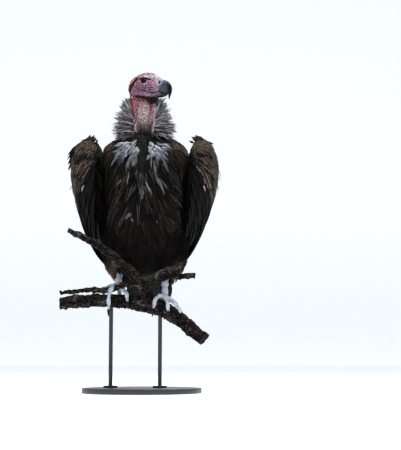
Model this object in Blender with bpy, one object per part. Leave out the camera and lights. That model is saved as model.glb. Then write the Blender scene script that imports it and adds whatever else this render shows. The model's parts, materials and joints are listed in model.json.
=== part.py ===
"""A life-size lappet-faced vulture perched on a cut branch, on a plain display stand.

The bird faces -Y, +Z is up and the origin is at the middle of the stand's underside.
Most of the body is lofted between two rails: a front (or upper) outline and a back (or lower)
outline, with a half width at each station. A smooth curve runs through the few stations given.
"""

import bmesh
import bpy
from math import cos, pi, radians, sin, sqrt
from mathutils import Matrix, Vector

GAP = 0.0003                  # clearance kept between neighbouring solids
CUT_GROWTHS = (0.00048, 0.00061, 0.00073, 0.00094)   # how far a cutter grows, in the order tried

# The stand
BASE_RADIUS = 0.235
BASE_HEIGHT = 0.020
BASE_BEVEL = 0.004
ROD_RADIUS = 0.008
FLANGE_RADIUS = 0.028
FLANGE_HEIGHT = 0.008
ROD_PLACES = {"stand_rod_right": (-0.125, 0.014), "stand_rod_left": (0.070, 0.002)}

# The head: the point between the eyes, the way it is turned, and its main sizes
HEAD_CENTRE = Vector((0.021, -0.080, 1.226))
HEAD_TURN = radians(66)       # to the bird's own left
HEAD_NOD = radians(4)         # bill down
EYE_RADIUS = 0.0112
EYE_SIDE = 0.0310             # eye centre from the head's middle plane

SIDES = {"left": 1, "right": -1}   # the bird's own left is +X
BODY_X = 0.008                # middle plane of the trunk, the wings and the tail

COLOURS = {
    "feather_dark": (0.035, 0.028, 0.024),
    "feather_brown": (0.130, 0.095, 0.075),
    "ruff_grey": (0.300, 0.270, 0.260),
    "trouser": (0.260, 0.165, 0.110),
    "skin_pink": (0.560, 0.220, 0.210),
    "leg_grey": (0.430, 0.470, 0.520),
    "horn": (0.060, 0.065, 0.075),
    "claw": (0.015, 0.014, 0.014),
    "eye": (0.010, 0.008, 0.008),
    "bark": (0.110, 0.090, 0.075),
    "stand_paint": (0.045, 0.045, 0.048),
}
ROUGHNESS = {"horn": 0.35, "claw": 0.3, "eye": 0.05, "stand_paint": 0.45}


def clear_scene():
    for obj in list(bpy.data.objects):
        bpy.data.objects.remove(obj)


def material(name):
    """The named Principled material, made once."""
    found = bpy.data.materials.get(name)
    if found:
        return found
    made = bpy.data.materials.new(name)
    made.use_nodes = True
    shader = made.node_tree.nodes["Principled BSDF"]
    shader.inputs["Base Color"].default_value = (*COLOURS[name], 1.0)
    shader.inputs["Roughness"].default_value = ROUGHNESS.get(name, 0.75)
    shader.inputs["Metallic"].default_value = 0.0
    return made


def curve(stations, t):
    """The place at t, from 0 to 1, on a smooth curve through evenly spaced stations of any size."""
    last = len(stations) - 1
    at = min(max(t, 0.0), 1.0) * last
    k = min(int(at), last - 1)
    f = at - k
    p1, p2 = stations[k], stations[k + 1]
    p0 = stations[k - 1] if k else [2 * a - b for a, b in zip(p1, p2)]
    p3 = stations[k + 2] if k + 2 <= last else [2 * b - a for a, b in zip(p1, p2)]
    return [
        0.5 * (2 * b + (c - a) * f + (2 * a - 5 * b + 4 * c - d) * f**2 + (3 * b - a - 3 * c + d) * f**3)
        for a, b, c, d in zip(p0, p1, p2, p3)
    ]


def new_object(name, bm, colour):
    """A node from a bmesh: normals outwards, smooth faces and its own material."""
    bmesh.ops.remove_doubles(bm, verts=bm.verts, dist=1e-6)
    bmesh.ops.recalc_face_normals(bm, faces=bm.faces)
    bmesh.ops.triangulate(bm, faces=bm.faces)
    mesh = bpy.data.meshes.new(name)
    bm.to_mesh(mesh)
    bm.free()
    mesh.shade_smooth()
    mesh.materials.append(material(colour))
    obj = bpy.data.objects.new(name, mesh)
    bpy.context.scene.collection.objects.link(obj)
    return obj


def skin_rings(name, rings, colour, bent=False):
    """A closed solid through rings with equal point counts. The ends are fans of triangles or, where
    the ring is bent like a horseshoe, strips between its outer and its inner points."""
    bm = bmesh.new()
    rows = [[bm.verts.new(p) for p in ring] for ring in rings]
    count = len(rows[0])
    for row, after in zip(rows, rows[1:]):
        for i in range(count):
            j = (i + 1) % count
            bm.faces.new((row[i], row[j], after[j], after[i]))
    for row in (rows[0], rows[-1]):
        if bent:
            for i in range(count // 2 - 1):
                bm.faces.new((row[i], row[i + 1], row[count - 2 - i], row[count - 1 - i]))
            continue
        middle = bm.verts.new(sum((v.co for v in row), Vector()) / count)
        for i in range(count):
            bm.faces.new((row[i], row[(i + 1) % count], middle))
    return new_object(name, bm, colour)


def soft_power(value, power):
    return (1 if value >= 0 else -1) * abs(value) ** power


def rail_loft(name, stations, colour, around, along, squareness=1.0, x=0.0, place=None):
    """A solid between two outlines in the YZ plane. A station is (front y, front z, back y, back z, half width)."""
    rings = []
    for k in range(along + 1):
        fy, fz, by, bz, half = curve(stations, k / along)
        middle = Vector((x, (fy + by) / 2, (fz + bz) / 2))
        reach = Vector((0, (fy - by) / 2, (fz - bz) / 2))
        ring = []
        for i in range(around):
            a = 2 * pi * i / around
            side = Vector((half * soft_power(sin(a), squareness), 0, 0))
            ring.append(middle + reach * soft_power(cos(a), squareness) + side)
        rings.append([place @ p for p in ring] if place else ring)
    return skin_rings(name, rings, colour)


def tube(name, stations, colour, around, along, knuckles=0, swell=0.0):
    """A round solid along a smooth curve. A station is (x, y, z, radius); knuckles swell it that many times."""
    rings = []
    side = None
    for k in range(along + 1):
        t = k / along
        x, y, z, r = curve(stations, t)
        here = Vector((x, y, z))
        ahead = Vector(curve(stations, min(1, t + 0.02))[:3])
        behind = Vector(curve(stations, max(0, t - 0.02))[:3])
        run = (ahead - behind).normalized()
        if side is None:
            side = run.orthogonal()
        side = (side - run * side.dot(run)).normalized()
        other = run.cross(side)
        r *= 1 + swell * sin(pi * knuckles * t) ** 2
        rings.append(
            [here + r * (side * cos(2 * pi * i / around) + other * sin(2 * pi * i / around)) for i in range(around)]
        )
    return skin_rings(name, rings, colour)


def largest_piece(mesh):
    """Drops the crumbs that a Boolean can leave beside the main body, closes a missing face or two, and
    says if the body is whole."""
    bm = bmesh.new()
    bm.from_mesh(mesh)
    unseen = set(bm.verts)
    main = set()
    while unseen:
        stack = [unseen.pop()]
        piece = set(stack)
        while stack:
            for edge in stack.pop().link_edges:
                for vert in edge.verts:
                    if vert in unseen:
                        unseen.discard(vert)
                        piece.add(vert)
                        stack.append(vert)
        if len(piece) > len(main):
            main = piece
    bmesh.ops.delete(bm, geom=[v for v in bm.verts if v not in main], context="VERTS")
    bmesh.ops.holes_fill(bm, edges=[e for e in bm.edges if e.is_boundary], sides=4)
    sound = bool(bm.faces) and all(e.is_manifold for e in bm.edges)
    bm.to_mesh(mesh)
    bm.free()
    return sound


def boolean(target, other, operation):
    """The mesh that target has once other is joined to it or cut from it."""
    cut = target.modifiers.new("Boolean", "BOOLEAN")
    cut.operation = operation
    cut.object = other
    graph = bpy.context.evaluated_depsgraph_get()
    made = bpy.data.meshes.new_from_object(target.evaluated_get(graph))
    target.modifiers.clear()
    return made


def carve(target, *others):
    """Cuts others, grown by the gap, out of target. A cut that doesn't close is tried a little wider."""
    for other in others:
        for growth in CUT_GROWTHS:
            cutter = other.copy()
            cutter.data = other.data.copy()
            cutter.name = "cutter"
            bpy.context.scene.collection.objects.link(cutter)
            for vert, normal in zip(cutter.data.vertices, [v.normal.copy() for v in other.data.vertices]):
                vert.co += normal * growth
            made = boolean(target, cutter, "DIFFERENCE")
            bpy.data.objects.remove(cutter)
            if largest_piece(made):
                break
        target.data = made


def unite(target, *others):
    """Joins others to target as one body, and removes them."""
    for other in others:
        target.data = boolean(target, other, "UNION")
        bpy.data.objects.remove(other)


# ---------------------------------------------------------------- trunk, tail and wings

TRUNK = [  # front y, front z, back y, back z, half width; from the neck's root to the vent
    (-0.085, 1.022, 0.025, 1.040, 0.062),
    (-0.134, 0.972, 0.098, 1.000, 0.156),
    (-0.160, 0.890, 0.145, 0.925, 0.181),
    (-0.158, 0.790, 0.175, 0.822, 0.166),
    (-0.136, 0.688, 0.194, 0.715, 0.160),
    (-0.104, 0.595, 0.206, 0.615, 0.146),
    (-0.050, 0.515, 0.200, 0.535, 0.100),
    (0.035, 0.468, 0.180, 0.500, 0.045),
]

TAIL = [  # upper y, upper z, lower y, lower z, half width; from the rump to the tips
    (0.170, 0.590, 0.140, 0.520, 0.050),
    (0.235, 0.540, 0.215, 0.495, 0.072),
    (0.320, 0.478, 0.305, 0.448, 0.090),
    (0.395, 0.424, 0.385, 0.404, 0.100),
    (0.442, 0.388, 0.438, 0.380, 0.082),
]

# The folded wing, from the wrist down to the quill tips. Each station holds the front rim, the
# outermost bulge and the rear rim, as x, y, z on the bird's left, and then the thickness.
WING = [
    (0.205, -0.072, 0.996, 0.224, -0.056, 1.006, 0.214, -0.025, 1.002, 0.014),
    (0.186, -0.105, 0.955, 0.244, -0.068, 0.968, 0.190, 0.075, 0.980, 0.046),
    (0.192, -0.112, 0.885, 0.264, -0.022, 0.890, 0.156, 0.160, 0.905, 0.050),
    (0.190, -0.086, 0.780, 0.254, 0.040, 0.780, 0.112, 0.218, 0.790, 0.040),
    (0.184, -0.028, 0.672, 0.214, 0.108, 0.664, 0.074, 0.262, 0.662, 0.028),
    (0.146, 0.066, 0.572, 0.158, 0.190, 0.556, 0.048, 0.312, 0.545, 0.020),
    (0.108, 0.200, 0.486, 0.112, 0.282, 0.472, 0.042, 0.362, 0.456, 0.012),
    (0.072, 0.358, 0.428, 0.076, 0.376, 0.422, 0.058, 0.396, 0.416, 0.004),
]
WING_SPLIT = 0.47             # where the coverts end and the quills' node starts
WING_SPAN_POINTS = 8          # points along the arc from the front rim to the rear rim
WING_ALONG = 16


def wing_ring(t, side):
    """One closed ring: along the outer face from front to rear, and back along the inner face."""
    s = curve(WING, t)
    front, bulge, rear = Vector(s[0:3]), Vector(s[3:6]), Vector(s[6:9])
    control = 2 * bulge - (front + rear) / 2
    outer, inner = [], []
    for i in range(WING_SPAN_POINTS):
        u = i / (WING_SPAN_POINTS - 1)
        here = front * (1 - u) ** 2 + control * 2 * u * (1 - u) + rear * u**2
        run = (control - front) * (1 - u) + (rear - control) * u
        out = Vector((run.y, -run.x, 0)).normalized()
        half = s[9] / 2 * max(0.12, sqrt(max(0.0, 1 - (2 * u - 1) ** 4)))
        outer.append(here + out * half)
        inner.append(here - out * half)
    ring = outer + inner[::-1]
    return [Vector((BODY_X + p.x * side, p.y, p.z)) for p in ring]


def wing_piece(name, start, end, side, colour):
    steps = max(3, round(WING_ALONG * (end - start)))
    rings = [wing_ring(start + (end - start) * k / steps, side) for k in range(steps + 1)]
    return skin_rings(name, rings, colour, bent=True)


# ---------------------------------------------------------------- neck, ruff and crop

NECK = [  # front y, front z, back y, back z, half width; from under the jaw to the crop
    (-0.112, 1.190, -0.020, 1.214, 0.046),
    (-0.122, 1.155, -0.018, 1.168, 0.051),
    (-0.132, 1.110, -0.014, 1.118, 0.047),
    (-0.144, 1.060, -0.008, 1.066, 0.042),
    (-0.148, 1.030, 0.000, 1.030, 0.038),
    (-0.132, 1.006, -0.010, 1.004, 0.028),
]
NECK_X = 0.008

CROP = [  # the dark, short-feathered bulge down the middle of the breast
    (-0.128, 1.020, -0.080, 1.020, 0.026),
    (-0.162, 0.975, -0.100, 0.975, 0.033),
    (-0.178, 0.920, -0.110, 0.920, 0.034),
    (-0.176, 0.865, -0.110, 0.865, 0.027),
    (-0.160, 0.830, -0.110, 0.830, 0.012),
]

RUFF = [  # height, reach to the side, y of its middle, reach to the back, inner radius, opening half angle
    (1.194, 0.056, -0.058, 0.056, 0.0500, 78),
    (1.160, 0.075, -0.052, 0.074, 0.0520, 62),
    (1.125, 0.104, -0.044, 0.096, 0.0520, 46),
    (1.085, 0.126, -0.038, 0.108, 0.0510, 40),
    (1.045, 0.130, -0.034, 0.114, 0.0500, 40),
    (1.010, 0.117, -0.028, 0.108, 0.0490, 46),
    (0.990, 0.096, -0.026, 0.100, 0.0480, 56),
]
RUFF_ARC_POINTS = 13
RUFF_ALONG = 6
RUFF_SERRATION = 0.035        # share of the reach by which every other point stands in


def ruff_ring(t, row):
    height, reach, mid_y, back, inner, opening = curve(RUFF, t)
    start, end = -pi / 2 + radians(opening), 3 * pi / 2 - radians(opening)
    outer, hollow = [], []
    for i in range(RUFF_ARC_POINTS):
        a = start + (end - start) * i / (RUFF_ARC_POINTS - 1)
        notch = 1 - RUFF_SERRATION * ((i + row) % 2)
        along_y = back if sin(a) > 0 else reach * 0.62
        outer.append(Vector((reach * notch * cos(a), mid_y + along_y * notch * sin(a), height)))
        hollow.append(Vector((inner * cos(a), -0.068 + inner * 1.28 * sin(a), height)))
    return outer + hollow[::-1]


# ---------------------------------------------------------------- head and bill

HEAD = [  # in the head's own frame, eyes at the origin, facing -Y: crown y, z, jaw y, z, half width
    (0.084, -0.018, 0.074, -0.050, 0.014),
    (0.070, 0.010, 0.050, -0.062, 0.032),
    (0.036, 0.031, 0.022, -0.065, 0.039),
    (0.002, 0.039, -0.002, -0.063, 0.0400),
    (-0.028, 0.034, -0.026, -0.058, 0.0340),
    (-0.050, 0.023, -0.046, -0.054, 0.0255),
    (-0.066, 0.0095, -0.062, -0.051, 0.0205),
]

BILL_UPPER = [  # culmen y, z, cutting edge y, z, half width; from the cere to the hook's point
    (-0.056, 0.0150, -0.056, -0.040, 0.0205),
    (-0.070, 0.0095, -0.070, -0.043, 0.0195),
    (-0.088, 0.0025, -0.082, -0.045, 0.0160),
    (-0.103, -0.0135, -0.090, -0.046, 0.0115),
    (-0.107, -0.0390, -0.0945, -0.051, 0.0062),
    (-0.099, -0.0685, -0.0955, -0.067, 0.0014),
]

BILL_LOWER = [  # upper edge y, z, lower edge y, z, half width
    (-0.050, -0.0400, -0.048, -0.0590, 0.0165),
    (-0.066, -0.0410, -0.065, -0.0595, 0.0150),
    (-0.080, -0.0420, -0.079, -0.0570, 0.0105),
    (-0.089, -0.0440, -0.089, -0.0520, 0.0050),
]


def head_place():
    turn = Matrix.Rotation(HEAD_TURN, 4, "Z")
    nod = Matrix.Rotation(HEAD_NOD, 4, "X")
    return Matrix.Translation(HEAD_CENTRE) @ turn @ nod


def ball(name, centre, radius, colour, segments=10, rings=6):
    bm = bmesh.new()
    bmesh.ops.create_uvsphere(bm, u_segments=segments, v_segments=rings, radius=radius)
    bmesh.ops.translate(bm, verts=bm.verts, vec=centre)
    return new_object(name, bm, colour)


# ---------------------------------------------------------------- legs and feet

THIGH = [  # front y, front z, back y, back z, half width; mirrored to each side
    (-0.080, 0.650, 0.125, 0.655, 0.070),
    (-0.074, 0.585, 0.120, 0.590, 0.077),
    (-0.050, 0.528, 0.112, 0.528, 0.074),
    (-0.014, 0.482, 0.104, 0.474, 0.056),
    (0.022, 0.452, 0.094, 0.428, 0.026),
]
THIGH_X = 0.094

# Each foot: where the toes meet, the hock, and each toe's own stations (x, y, z, radius)
FEET = {
    "right": {
        "hock": (-0.088, 0.052, 0.520),
        "sole": (-0.098, -0.010, 0.4175),
        "toes": {
            "middle": [(-0.108, -0.044, 0.4200), (-0.122, -0.064, 0.3990), (-0.128, -0.0700, 0.3640),
                       (-0.1285, -0.0680, 0.3240)],
            "inner": [(-0.078, -0.024, 0.4060), (-0.060, -0.0420, 0.3860), (-0.057, -0.0440, 0.3560)],
            "outer": [(-0.128, -0.008, 0.4180), (-0.154, -0.002, 0.4080), (-0.180, 0.004, 0.4020)],
            "hind": [(-0.096, 0.024, 0.4100), (-0.094, 0.048, 0.3860), (-0.094, 0.052, 0.3620)],
        },
    },
    "left": {
        "hock": (0.088, 0.048, 0.490),
        "sole": (0.089, -0.008, 0.3730),
        "toes": {
            "middle": [(0.094, -0.036, 0.3700), (0.101, -0.052, 0.3500), (0.104, -0.0570, 0.3160)],
            "inner": [(0.068, -0.030, 0.3780), (0.052, -0.0500, 0.3600), (0.046, -0.0560, 0.3280)],
            "outer": [(0.117, -0.030, 0.3620), (0.138, -0.0460, 0.3400), (0.156, -0.0480, 0.3120)],
            "hind": [(0.087, 0.026, 0.3660), (0.085, 0.046, 0.3460), (0.085, 0.052, 0.3200)],
        },
    },
}
TOE_RADII = (0.0125, 0.0098, 0.0085, 0.0070)
TARSUS_RADII = (0.0135, 0.0115, 0.0120, 0.0150)
CLAW_LENGTH = 0.034
CLAW_RADIUS = 0.0058
CLAW_CURL = radians(38)
TOE_SIDES = 6
TOE_START = 0.12              # share of the way from the sole's middle at which a toe starts
PAD_RADIUS = 0.0150


def toe(name, sole, points, colour):
    start = Vector(sole).lerp(Vector(points[0]), TOE_START)
    stations = [(*start, TOE_RADII[0])]
    for k, point in enumerate(points):
        share = (k + 1) / len(points) * 3
        low = min(int(share), 2)
        radius = TOE_RADII[low] + (TOE_RADII[low + 1] - TOE_RADII[low]) * (share - low)
        stations.append((*point, radius))
    return tube(name, stations, colour, TOE_SIDES, 2 * len(points) + 1, knuckles=3, swell=0.10)


def claw(name, points, inward):
    """A curved horn that carries on from the toe's end and hooks towards the branch."""
    tip, before = Vector(points[-1]), Vector(points[-2])
    run = (tip - before).normalized()
    start = tip + run * (GAP * 3)
    bend = (inward - run * inward.dot(run)).normalized()
    stations = []
    for k in range(5):
        t = k / 4
        turn = CLAW_CURL * t
        place = start + CLAW_LENGTH * t * (run * cos(turn) + bend * sin(turn))
        stations.append((*place, CLAW_RADIUS * (1.02 - t) ** 0.8))
    return tube(name, stations, "claw", 6, 3)


# ---------------------------------------------------------------- perch

LIMB = [  # x, y, z, radius: the limb that both feet stand on
    (-0.330, 0.020, 0.352, 0.0240),
    (-0.210, 0.016, 0.363, 0.0255),
    (-0.095, 0.010, 0.3600, 0.0265),
    (0.010, 0.004, 0.3460, 0.0320),
    (0.090, 0.000, 0.3240, 0.0310),
    (0.170, -0.004, 0.270, 0.0290),
    (0.248, -0.010, 0.205, 0.0270),
]
FORK = [  # the bare bough that slants up in front of the bird
    (0.030, -0.004, 0.362, 0.0280),
    (-0.006, -0.058, 0.432, 0.0225),
    (-0.082, -0.098, 0.503, 0.0200),
    (-0.140, -0.124, 0.551, 0.0185),
    (-0.200, -0.142, 0.589, 0.0150),
    (-0.279, -0.165, 0.624, 0.0095),
]
TWIG = [  # the thin branch that runs level across the limb
    (-0.325, -0.030, 0.390, 0.0090),
    (-0.206, -0.030, 0.403, 0.0100),
    (-0.138, -0.030, 0.4010, 0.0105),
    (-0.072, -0.066, 0.4180, 0.0110),
    (-0.010, -0.086, 0.4340, 0.0135),
    (0.061, -0.096, 0.4400, 0.0125),
    (0.127, -0.096, 0.4500, 0.0120),
    (0.209, -0.085, 0.4540, 0.0110),
]
KNOB = [  # the lumpy spur over the left foot
    (0.040, -0.096, 0.4410, 0.0110),
    (0.084, -0.105, 0.4630, 0.0130),
    (0.119, -0.106, 0.4740, 0.0150),
    (0.152, -0.104, 0.4860, 0.0140),
    (0.176, -0.100, 0.5110, 0.0080),
]


def build_perch():
    limb = tube("perch_limb", LIMB, "bark", 10, 14)
    fork = tube("perch_fork", FORK, "bark", 8, 12)
    twig = tube("perch_twig", TWIG, "bark", 8, 16)
    knob = tube("perch_knob", KNOB, "bark", 8, 9, knuckles=3, swell=0.16)
    carve(fork, limb)
    carve(twig, fork)
    carve(knob, twig)
    return [limb, fork, twig, knob]


def build_stand(limb):
    bm = bmesh.new()
    bmesh.ops.create_cone(
        bm, cap_ends=True, segments=36, radius1=BASE_RADIUS, radius2=BASE_RADIUS, depth=BASE_HEIGHT
    )
    bmesh.ops.translate(bm, verts=bm.verts, vec=(0, 0, BASE_HEIGHT / 2))
    rim = [e for e in bm.edges if all(v.co.z > BASE_HEIGHT / 2 for v in e.verts)]
    bmesh.ops.bevel(bm, geom=rim, offset=BASE_BEVEL, segments=2, affect="EDGES")
    base = new_object("stand_base", bm, "stand_paint")
    base.data.set_sharp_from_angle(angle=radians(35))
    made = [base]
    foot = BASE_HEIGHT + GAP
    for name, (x, y) in ROD_PLACES.items():
        profile = [(FLANGE_RADIUS, foot), (FLANGE_RADIUS, foot + FLANGE_HEIGHT * 0.7),
                   (FLANGE_RADIUS * 0.86, foot + FLANGE_HEIGHT), (ROD_RADIUS, foot + FLANGE_HEIGHT),
                   (ROD_RADIUS, 0.340)]
        rings = [
            [Vector((x + r * cos(2 * pi * i / 12), y + r * sin(2 * pi * i / 12), z)) for i in range(12)]
            for r, z in profile
        ]
        rod = skin_rings(name, rings, "stand_paint")
        carve(rod, limb)
        rod.data.set_sharp_from_angle(angle=radians(35))
        made.append(rod)
    return made


def build_body():
    trunk = rail_loft("trunk", TRUNK, "feather_dark", 22, 13, squareness=0.92, x=BODY_X)
    tail = rail_loft("tail", TAIL, "feather_dark", 12, 6, squareness=0.7, x=BODY_X)
    crop = rail_loft("crop", CROP, "feather_dark", 10, 8)
    neck = rail_loft("neck", NECK, "skin_pink", 14, 7, x=NECK_X)
    ruff = skin_rings("ruff", [ruff_ring(k / RUFF_ALONG, k) for k in range(RUFF_ALONG + 1)], "ruff_grey", bent=True)
    carve(neck, trunk)
    carve(crop, trunk, neck)
    carve(ruff, neck, trunk)
    carve(ruff, crop)
    wings = {}
    for word, side in SIDES.items():
        coverts = wing_piece(f"wing_{word}_coverts", 0.0, WING_SPLIT, side, "feather_brown")
        quills = wing_piece(f"wing_{word}_quills", WING_SPLIT + 0.0006, 1.0, side, "feather_dark")
        carve(coverts, trunk)
        carve(quills, tail, trunk)
        wings[word] = (coverts, quills)
    carve(tail, trunk)
    return trunk, tail, crop, neck, ruff, wings


def build_head(neck, ruff):
    place = head_place()
    head = rail_loft("head", HEAD, "skin_pink", 16, 12, squareness=0.9, place=place)
    upper = rail_loft("bill_upper", BILL_UPPER, "horn", 12, 12, squareness=0.85, place=place)
    lower = rail_loft("bill_lower", BILL_LOWER, "horn", 10, 6, squareness=0.85, place=place)
    for word, side in SIDES.items():
        centre = place @ Vector((EYE_SIDE * side, 0, 0))
        eye = ball(f"eye_{word}", centre, EYE_RADIUS, "eye")
        carve(head, eye)
    carve(upper, head)
    carve(lower, head, upper)
    carve(neck, head)
    carve(ruff, head)
    return head, upper, lower


def build_legs(trunk, wings, perch):
    for word, side in SIDES.items():
        foot = FEET[word]
        thigh = rail_loft(f"thigh_{word}", THIGH, "trouser", 12, 7, x=BODY_X + THIGH_X * side)
        hock, sole = Vector(foot["hock"]), Vector(foot["sole"])
        shin = [(*hock.lerp(sole, k / 3), TARSUS_RADII[k]) for k in range(4)]
        tarsus = tube(f"tarsus_{word}", shin, "leg_grey", 8, 4)
        toes = {}
        for which, points in foot["toes"].items():
            toes[which] = toe(f"toe_{word}_{which}", sole, points, "leg_grey")
        whole = ball(f"foot_{word}", sole, PAD_RADIUS, "leg_grey", 8, 5)
        unite(whole, *toes.values())
        carve(whole, *perch)
        for which, points in foot["toes"].items():
            inward = Vector((0, -1, -0.2)) if which == "hind" else Vector((0, 1, -0.2))
            if word == "right" and which == "outer":
                inward = Vector((0, 0.3, -1))
            horn = claw(f"claw_{word}_{which}", points, inward)
            carve(horn, whole, *perch)
        carve(thigh, trunk, wings[word][1])
        carve(tarsus, thigh, whole)


def main():
    clear_scene()
    trunk, tail, crop, neck, ruff, wings = build_body()
    build_head(neck, ruff)
    perch = build_perch()
    build_stand(perch[0])
    build_legs(trunk, wings, perch)


main()
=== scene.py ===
import json
from itertools import product
from math import cos, pi, radians, sin

import bpy
import numpy as np
from bpy.props import FloatProperty, FloatVectorProperty, IntProperty, PointerProperty
from bpy.types import Operator, Panel, PropertyGroup
from mathutils import Matrix, Vector, noise
from mathutils.bvhtree import BVHTree

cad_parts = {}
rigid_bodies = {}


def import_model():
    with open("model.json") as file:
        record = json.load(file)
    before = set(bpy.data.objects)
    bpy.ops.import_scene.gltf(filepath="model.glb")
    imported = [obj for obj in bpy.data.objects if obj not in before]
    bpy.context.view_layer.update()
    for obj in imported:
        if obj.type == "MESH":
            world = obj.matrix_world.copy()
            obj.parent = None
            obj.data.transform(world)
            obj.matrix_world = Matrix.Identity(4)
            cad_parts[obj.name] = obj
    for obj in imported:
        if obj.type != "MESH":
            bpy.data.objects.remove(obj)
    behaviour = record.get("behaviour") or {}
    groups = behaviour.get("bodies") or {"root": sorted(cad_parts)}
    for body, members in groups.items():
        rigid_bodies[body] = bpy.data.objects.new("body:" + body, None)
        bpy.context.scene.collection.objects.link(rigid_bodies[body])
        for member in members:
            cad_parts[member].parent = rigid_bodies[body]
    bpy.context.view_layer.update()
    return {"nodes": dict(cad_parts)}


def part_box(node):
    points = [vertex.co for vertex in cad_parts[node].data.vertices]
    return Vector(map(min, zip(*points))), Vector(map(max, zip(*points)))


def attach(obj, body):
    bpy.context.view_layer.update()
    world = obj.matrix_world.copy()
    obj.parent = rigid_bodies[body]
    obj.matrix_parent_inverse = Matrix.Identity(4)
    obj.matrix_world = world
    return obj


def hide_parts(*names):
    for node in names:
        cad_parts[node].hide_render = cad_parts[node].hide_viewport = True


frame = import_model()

bl_info = {
    "name": "Perched Vulture",
    "version": (1, 0, 0),
    "blender": (4, 5, 0),
    "location": "View3D > Sidebar > Vulture",
    "description": "Builds the looks of a life-size perched vulture around its CAD frame",
    "category": "Object",
}

NODES = frame["nodes"]
SIDES = {"left": 1, "right": -1}      # the bird's own left is +X
BODY_X = 0.008                        # middle plane of trunk, wings and tail
NECK_X, NECK_Y = 0.006, -0.068        # middle of the bare neck; the crop hangs in line with it
HEAD_TURN, HEAD_NOD = radians(66), radians(4)


def node_middle(name):
    low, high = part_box(name)
    return (Vector(low) + Vector(high)) / 2


EYES_MIDDLE = (node_middle("eye_left") + node_middle("eye_right")) / 2
HEAD_PLACE = (
    Matrix.Translation(EYES_MIDDLE) @ Matrix.Rotation(HEAD_TURN, 4, "Z") @ Matrix.Rotation(HEAD_NOD, 4, "X")
)


def colour_property(name, description, value):
    return FloatVectorProperty(name=name, description=description, default=value, size=3, min=0, max=1,
                               subtype="COLOR")


def length_property(name, description, value):
    return FloatProperty(name=name, description=description, default=value, min=0, soft_max=0.5,
                         subtype="DISTANCE", unit="LENGTH")


class VultureSizes(PropertyGroup):
    """Sizes of the coat and the eyeballs, and the start of the random numbers."""

    coat_depth: length_property("Coat depth", "How deep the skin lies under the tips of the feathers", 0.011)
    breast_length: length_property("Breast feather", "Length of a pointed breast feather", 0.088)
    breast_width: length_property("Breast feather width", "Greatest width of a breast feather", 0.019)
    back_length: length_property("Back feather", "Length of a rounded back feather", 0.074)
    belly_length: length_property("Belly feather", "Length of a soft belly feather", 0.066)
    covert_length: length_property("Covert", "Length of a middle covert of the wing", 0.062)
    covert_width: length_property("Covert width", "Greatest width of a middle covert", 0.026)
    quill_width: length_property("Quill width", "Greatest width of a flight feather", 0.058)
    ruff_width: length_property("Ruff feather width", "Greatest width of a ruff feather", 0.0125)
    down_length: length_property("Down tuft", "Length of a tuft of white breast down", 0.058)
    scalp_length: length_property("Scalp down", "Length of the sparse down on top of the head", 0.008)
    eye_size: length_property("Eyeball", "Diameter of an eyeball", 0.0212)
    patch: FloatProperty(name="Bake patch", description="Width of one feather's patch on the bake map",
                         default=0.003, min=0.0005, max=0.02)
    seed: IntProperty(name="Seed", description="Start of the random numbers", default=7, min=0)


class VultureColours(PropertyGroup):
    """Colours of skin, feathers, horn, branch, stand and floor, in linear light."""

    breast: colour_property("Breast", "Middle of a breast feather", (0.0050, 0.0040, 0.0036))
    breast_rim: colour_property("Breast rim", "Edge of a breast feather", (0.230, 0.180, 0.145))
    belly: colour_property("Belly", "Belly and thighs", (0.0085, 0.0070, 0.0065))
    rust: colour_property("Rust", "Outer thighs and rims on the shoulders", (0.270, 0.165, 0.120))
    back: colour_property("Back", "Middle of a back feather", (0.026, 0.0185, 0.0145))
    covert: colour_property("Covert", "Middle of a wing covert", (0.0200, 0.0140, 0.0108))
    covert_rim: colour_property("Covert rim", "Edge of a wing covert", (0.430, 0.320, 0.245))
    quill: colour_property("Quill", "Flight and tail feathers", (0.0042, 0.0037, 0.0038))
    down: colour_property("Down", "White down beside the crop", (0.560, 0.590, 0.660))
    crop: colour_property("Crop", "Short feathers over the crop", (0.0075, 0.0062, 0.0060))
    ruff: colour_property("Ruff", "Middle of a ruff feather", (0.275, 0.262, 0.282))
    ruff_tip: colour_property("Ruff tip", "Tip of a ruff feather", (0.030, 0.023, 0.020))
    pink: colour_property("Pink skin", "Bare skin of head and neck", (0.335, 0.138, 0.188))
    pale: colour_property("Pale skin", "Forehead, cere and ring of the eye", (0.540, 0.465, 0.500))
    purple: colour_property("Purple skin", "Cheek", (0.175, 0.064, 0.165))
    olive: colour_property("Grey skin", "Band behind the eye", (0.170, 0.155, 0.135))
    red: colour_property("Red skin", "Folds, and the side of the neck", (0.400, 0.045, 0.065))
    leg: colour_property("Leg", "Shanks and toes", (0.580, 0.650, 0.740))
    horn: colour_property("Horn", "Bill", (0.037, 0.045, 0.058))
    claw: colour_property("Claw", "Claws", (0.006, 0.0055, 0.0055))
    bark: colour_property("Bark", "Dark furrows of the branch", (0.0065, 0.0050, 0.0042))
    lichen: colour_property("Lichen", "Pale weathered ridges of the branch", (0.105, 0.090, 0.080))
    stand: colour_property("Stand", "Paint of the display stand", (0.035, 0.035, 0.038))
    floor: colour_property("Floor", "Floor and backdrop", (0.830, 0.865, 0.900))


def sizes():
    return bpy.context.scene.vulture_sizes


def colours(name):
    return np.array(getattr(bpy.context.scene.vulture_colours, name))


# ---------------------------------------------------------------- plain helpers


def unit(vectors):
    return vectors / np.maximum(np.linalg.norm(vectors, axis=-1, keepdims=True), 1e-12)


def smooth_step(low, high, value):
    share = np.clip((value - low) / (high - low), 0.0, 1.0)
    return share * share * (3 - 2 * share)


def fall_off(low, high, value):
    """1 up to low, falling smoothly to 0 at high."""
    return 1 - smooth_step(low, high, value)


def bump_at(value, middle, reach):
    """1 at middle, falling smoothly to 0 at reach to either side."""
    return fall_off(0.0, 1.0, np.abs(value - middle) / reach)


def mix(first, second, share):
    return first * (1 - share)[..., None] + second * share[..., None]


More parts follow.
